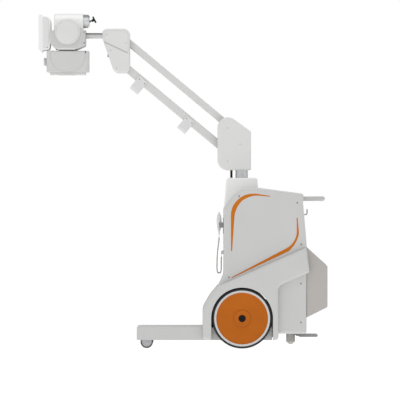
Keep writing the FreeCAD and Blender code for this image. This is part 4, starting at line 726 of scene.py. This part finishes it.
HOUSING_HALF, HOUSING_BEVEL = 0.0985, 0.006
HOUSING = [
    (-0.845, 1.806), (-0.808, 1.808, 0.012), (-0.799, 1.858, 0.03), (-0.799, 1.955, 0.03),
    (-0.808, 1.994, 0.016), (-0.845, 1.996),
]
shape = slab(rounded(HOUSING), -HOUSING_HALF, HOUSING_HALF, HOUSING_BEVEL)
add_mesh("panel_housing", shape, housing_white, "tube_head")

LIP_INNER, LIP_OUTER, LIP_BEVEL = 0.104, 0.1128, 0.0015
LIP = [(-0.752, 1.8055), (-0.752, 1.7955, 0.003), (-0.642, 1.7955, 0.003), (-0.642, 1.8055)]
for side, word in SIDES:
    shape = slab(rounded(LIP), side * LIP_INNER, side * LIP_OUTER, LIP_BEVEL)
    add_mesh(f"casting_lip_{word}", shape, plate_white, "tube_head")


# Soft steps in painted shade: the lower edge of the front cover's field and the collimator's round
# boss.

LEDGE_SMOOTH = 60
FACET_UPPER = [(-0.4683, 1.8468), (-0.3273, 1.7808)]
FACET_LOWER = [(-0.4717, 1.8396), (-0.3307, 1.7736)]
BOSS_REAR, BOSS_FRONT = (-0.696, 1.760), (-0.684, 1.760)
BOSS_TOP = 1.783
BOSS_RADIUS, BOSS_LEDGE, BOSS_RISE = 0.096, 0.006, 0.002


def boss_line(radius):
    """A U in (X, Z): down one side, two quarter arcs below and up the other side."""
    line = [(BOSS_REAR[0] - radius, BOSS_TOP), *arc(BOSS_REAR, radius, 180, 270)]
    return line + [*arc(BOSS_FRONT, radius, 270, 360), (BOSS_FRONT[0] + radius, BOSS_TOP)]


for side, word in SIDES:
    section = ledge_section(ARM_COVER_Y + ARM_FIELD_RISE, ARM_COVER_Y + SKIN_LIFT)
    shape = strip(FACET_UPPER, FACET_LOWER, side, section)
    add_mesh(f"cover_facet_{word}", shape, step_painted_shade, "arm_head", LEDGE_SMOOTH)
    section = ledge_section(COLLIMATOR_Y + BOSS_RISE, COLLIMATOR_Y + SKIN_LIFT)
    shape = strip(boss_line(BOSS_RADIUS), boss_line(BOSS_RADIUS + BOSS_LEDGE), side, section)
    add_mesh(f"collimator_rim_{word}", shape, rim_painted_shade, "collimator", LEDGE_SMOOTH)


# Rear wheels: tyre with a grooved tread.

TYRE_HALF = 0.0202
TYRE_MIDDLE_Y = 0.264
TYRE_STEPS = 160
TREAD_RADIUS, GROOVE_RADIUS = 0.1798, 0.1778
GROOVES = (-0.008, 0.0, 0.008)


def tyre_profile():
    """Section of the tyre from one bead over the grooved tread to the other bead."""
    wall = [
        (0.1672, 0.001), (0.1690, 0.0), (0.1735, 0.0003), (0.1740, 0.0011), (0.1750, 0.0011),
        (0.1755, 0.0006), (0.1784, 0.0042), (0.1795, 0.008),
    ]
    profile = [(radius, inward - TYRE_HALF) for radius, inward in wall]
    for groove in GROOVES:
        profile += [(TREAD_RADIUS, groove - 0.0016), (GROOVE_RADIUS, groove - 0.0011)]
        profile += [(GROOVE_RADIUS, groove + 0.0011), (TREAD_RADIUS, groove + 0.0016)]
    return profile + [(radius, TYRE_HALF - inward) for radius, inward in reversed(wall)]


for side, word in SIDES:
    centre = (WHEEL_X, side * TYRE_MIDDLE_Y, WHEEL_Z)
    shape = lathe(tyre_profile(), centre, (0, 1, 0), TYRE_STEPS)
    tyre = add_mesh(
        f"tyre_detail_{word}", shape, black_rubber, f"wheel_{word}", 40,
    )
    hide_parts(f"tyre_{word}")


# Ribbed conduit beside the column.

RIB_PITCH, RIB_DEPTH = 0.0036, 0.0014


def add_conduit():
    """Ribs on the whole height of the column's cable, around its own axis."""
    low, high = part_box("column_cable")
    middle = (low + high) / 2
    radius = (high.x - low.x) / 2
    ribs = int((high.z - low.z) / RIB_PITCH)
    profile = [(0.0, 0.0)]
    for i in range(ribs):
        base = i * RIB_PITCH
        profile += [(radius - RIB_DEPTH, base), (radius, base + RIB_PITCH * 0.3)]
        profile += [(radius, base + RIB_PITCH * 0.6), (radius - RIB_DEPTH, base + RIB_PITCH * 0.9)]
    profile.append((0.0, ribs * RIB_PITCH))
    shape = lathe(profile, (middle.x, middle.y, low.z), (0, 0, 1), 40)
    piece = add_mesh("column_conduit", shape, black_rubber, "column", 50)
    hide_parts("column_cable")


add_conduit()


# Surroundings: a pale floor and soft light from above and from the front.

FLOOR_HALF = 60
FLOOR_GLOW = 0.93
SKY_LOW, SKY_HIGH = 0.42, 0.76

floor_shape = bmesh.new()
bmesh.ops.create_grid(floor_shape, x_segments=1, y_segments=1, size=FLOOR_HALF)
floor_mesh = bpy.data.meshes.new("floor")
floor_shape.to_mesh(floor_mesh)
floor_shape.free()
floor = bpy.data.objects.new("floor", floor_mesh)
scene.collection.objects.link(floor)
floor_finish = Finish("pale_floor", 0.9)
floor_finish.colour(
    floor_finish.between(floor_finish.noise(0.8), linear(108, 108, 108), linear(112, 112, 112)),
)
floor_finish.shader.inputs["Emission Color"].default_value = (1, 1, 1, 1)
floor_finish.shader.inputs["Emission Strength"].default_value = FLOOR_GLOW
floor_mesh.materials.append(floor_finish.material)

world = bpy.data.worlds.new("studio")
world.use_nodes = True
scene.world = world
sky = world.node_tree
surface = sky.nodes["Background"]
up_down = sky.nodes.new("ShaderNodeTexCoord")
split = sky.nodes.new("ShaderNodeSeparateXYZ")
fade = sky.nodes.new("ShaderNodeMapRange")
fade.inputs["From Min"].default_value = -0.2
fade.inputs["From Max"].default_value = 1.0
fade.inputs["To Min"].default_value = SKY_LOW
fade.inputs["To Max"].default_value = SKY_HIGH
sky.links.new(up_down.outputs["Generated"], split.inputs["Vector"])
sky.links.new(split.outputs["Z"], fade.inputs["Value"])
# The camera sees plain white; the fading sky only lights the machine.
seen = sky.nodes.new("ShaderNodeLightPath")
pick = sky.nodes.new("ShaderNodeMix")
pick.inputs[3].default_value = 1.0
sky.links.new(seen.outputs["Is Camera Ray"], pick.inputs["Factor"])
sky.links.new(fade.outputs["Result"], pick.inputs[2])
sky.links.new(pick.outputs[0], surface.inputs["Strength"])
surface.inputs["Color"].default_value = (1, 1, 1, 1)


def add_light(name, place, aim, size, power):
    """A soft square light that points at a place."""
    data = bpy.data.lights.new(name, "AREA")
    data.size = size
    data.energy = power
    light = bpy.data.objects.new(name, data)
    light.location = place
    light.rotation_euler = (Vector(aim) - Vector(place)).to_track_quat("-Z", "Y").to_euler()
    scene.collection.objects.link(light)


add_light("key", (-2.0, -4.5, 5.0), (0.0, 0.0, 1.0), 3.0, 26)
add_light("top", (0.5, 0.5, 6.0), (0.2, 0.0, 0.8), 4.0, 62)

scene.view_settings.view_transform = "Standard"
scene.view_settings.look = "None"
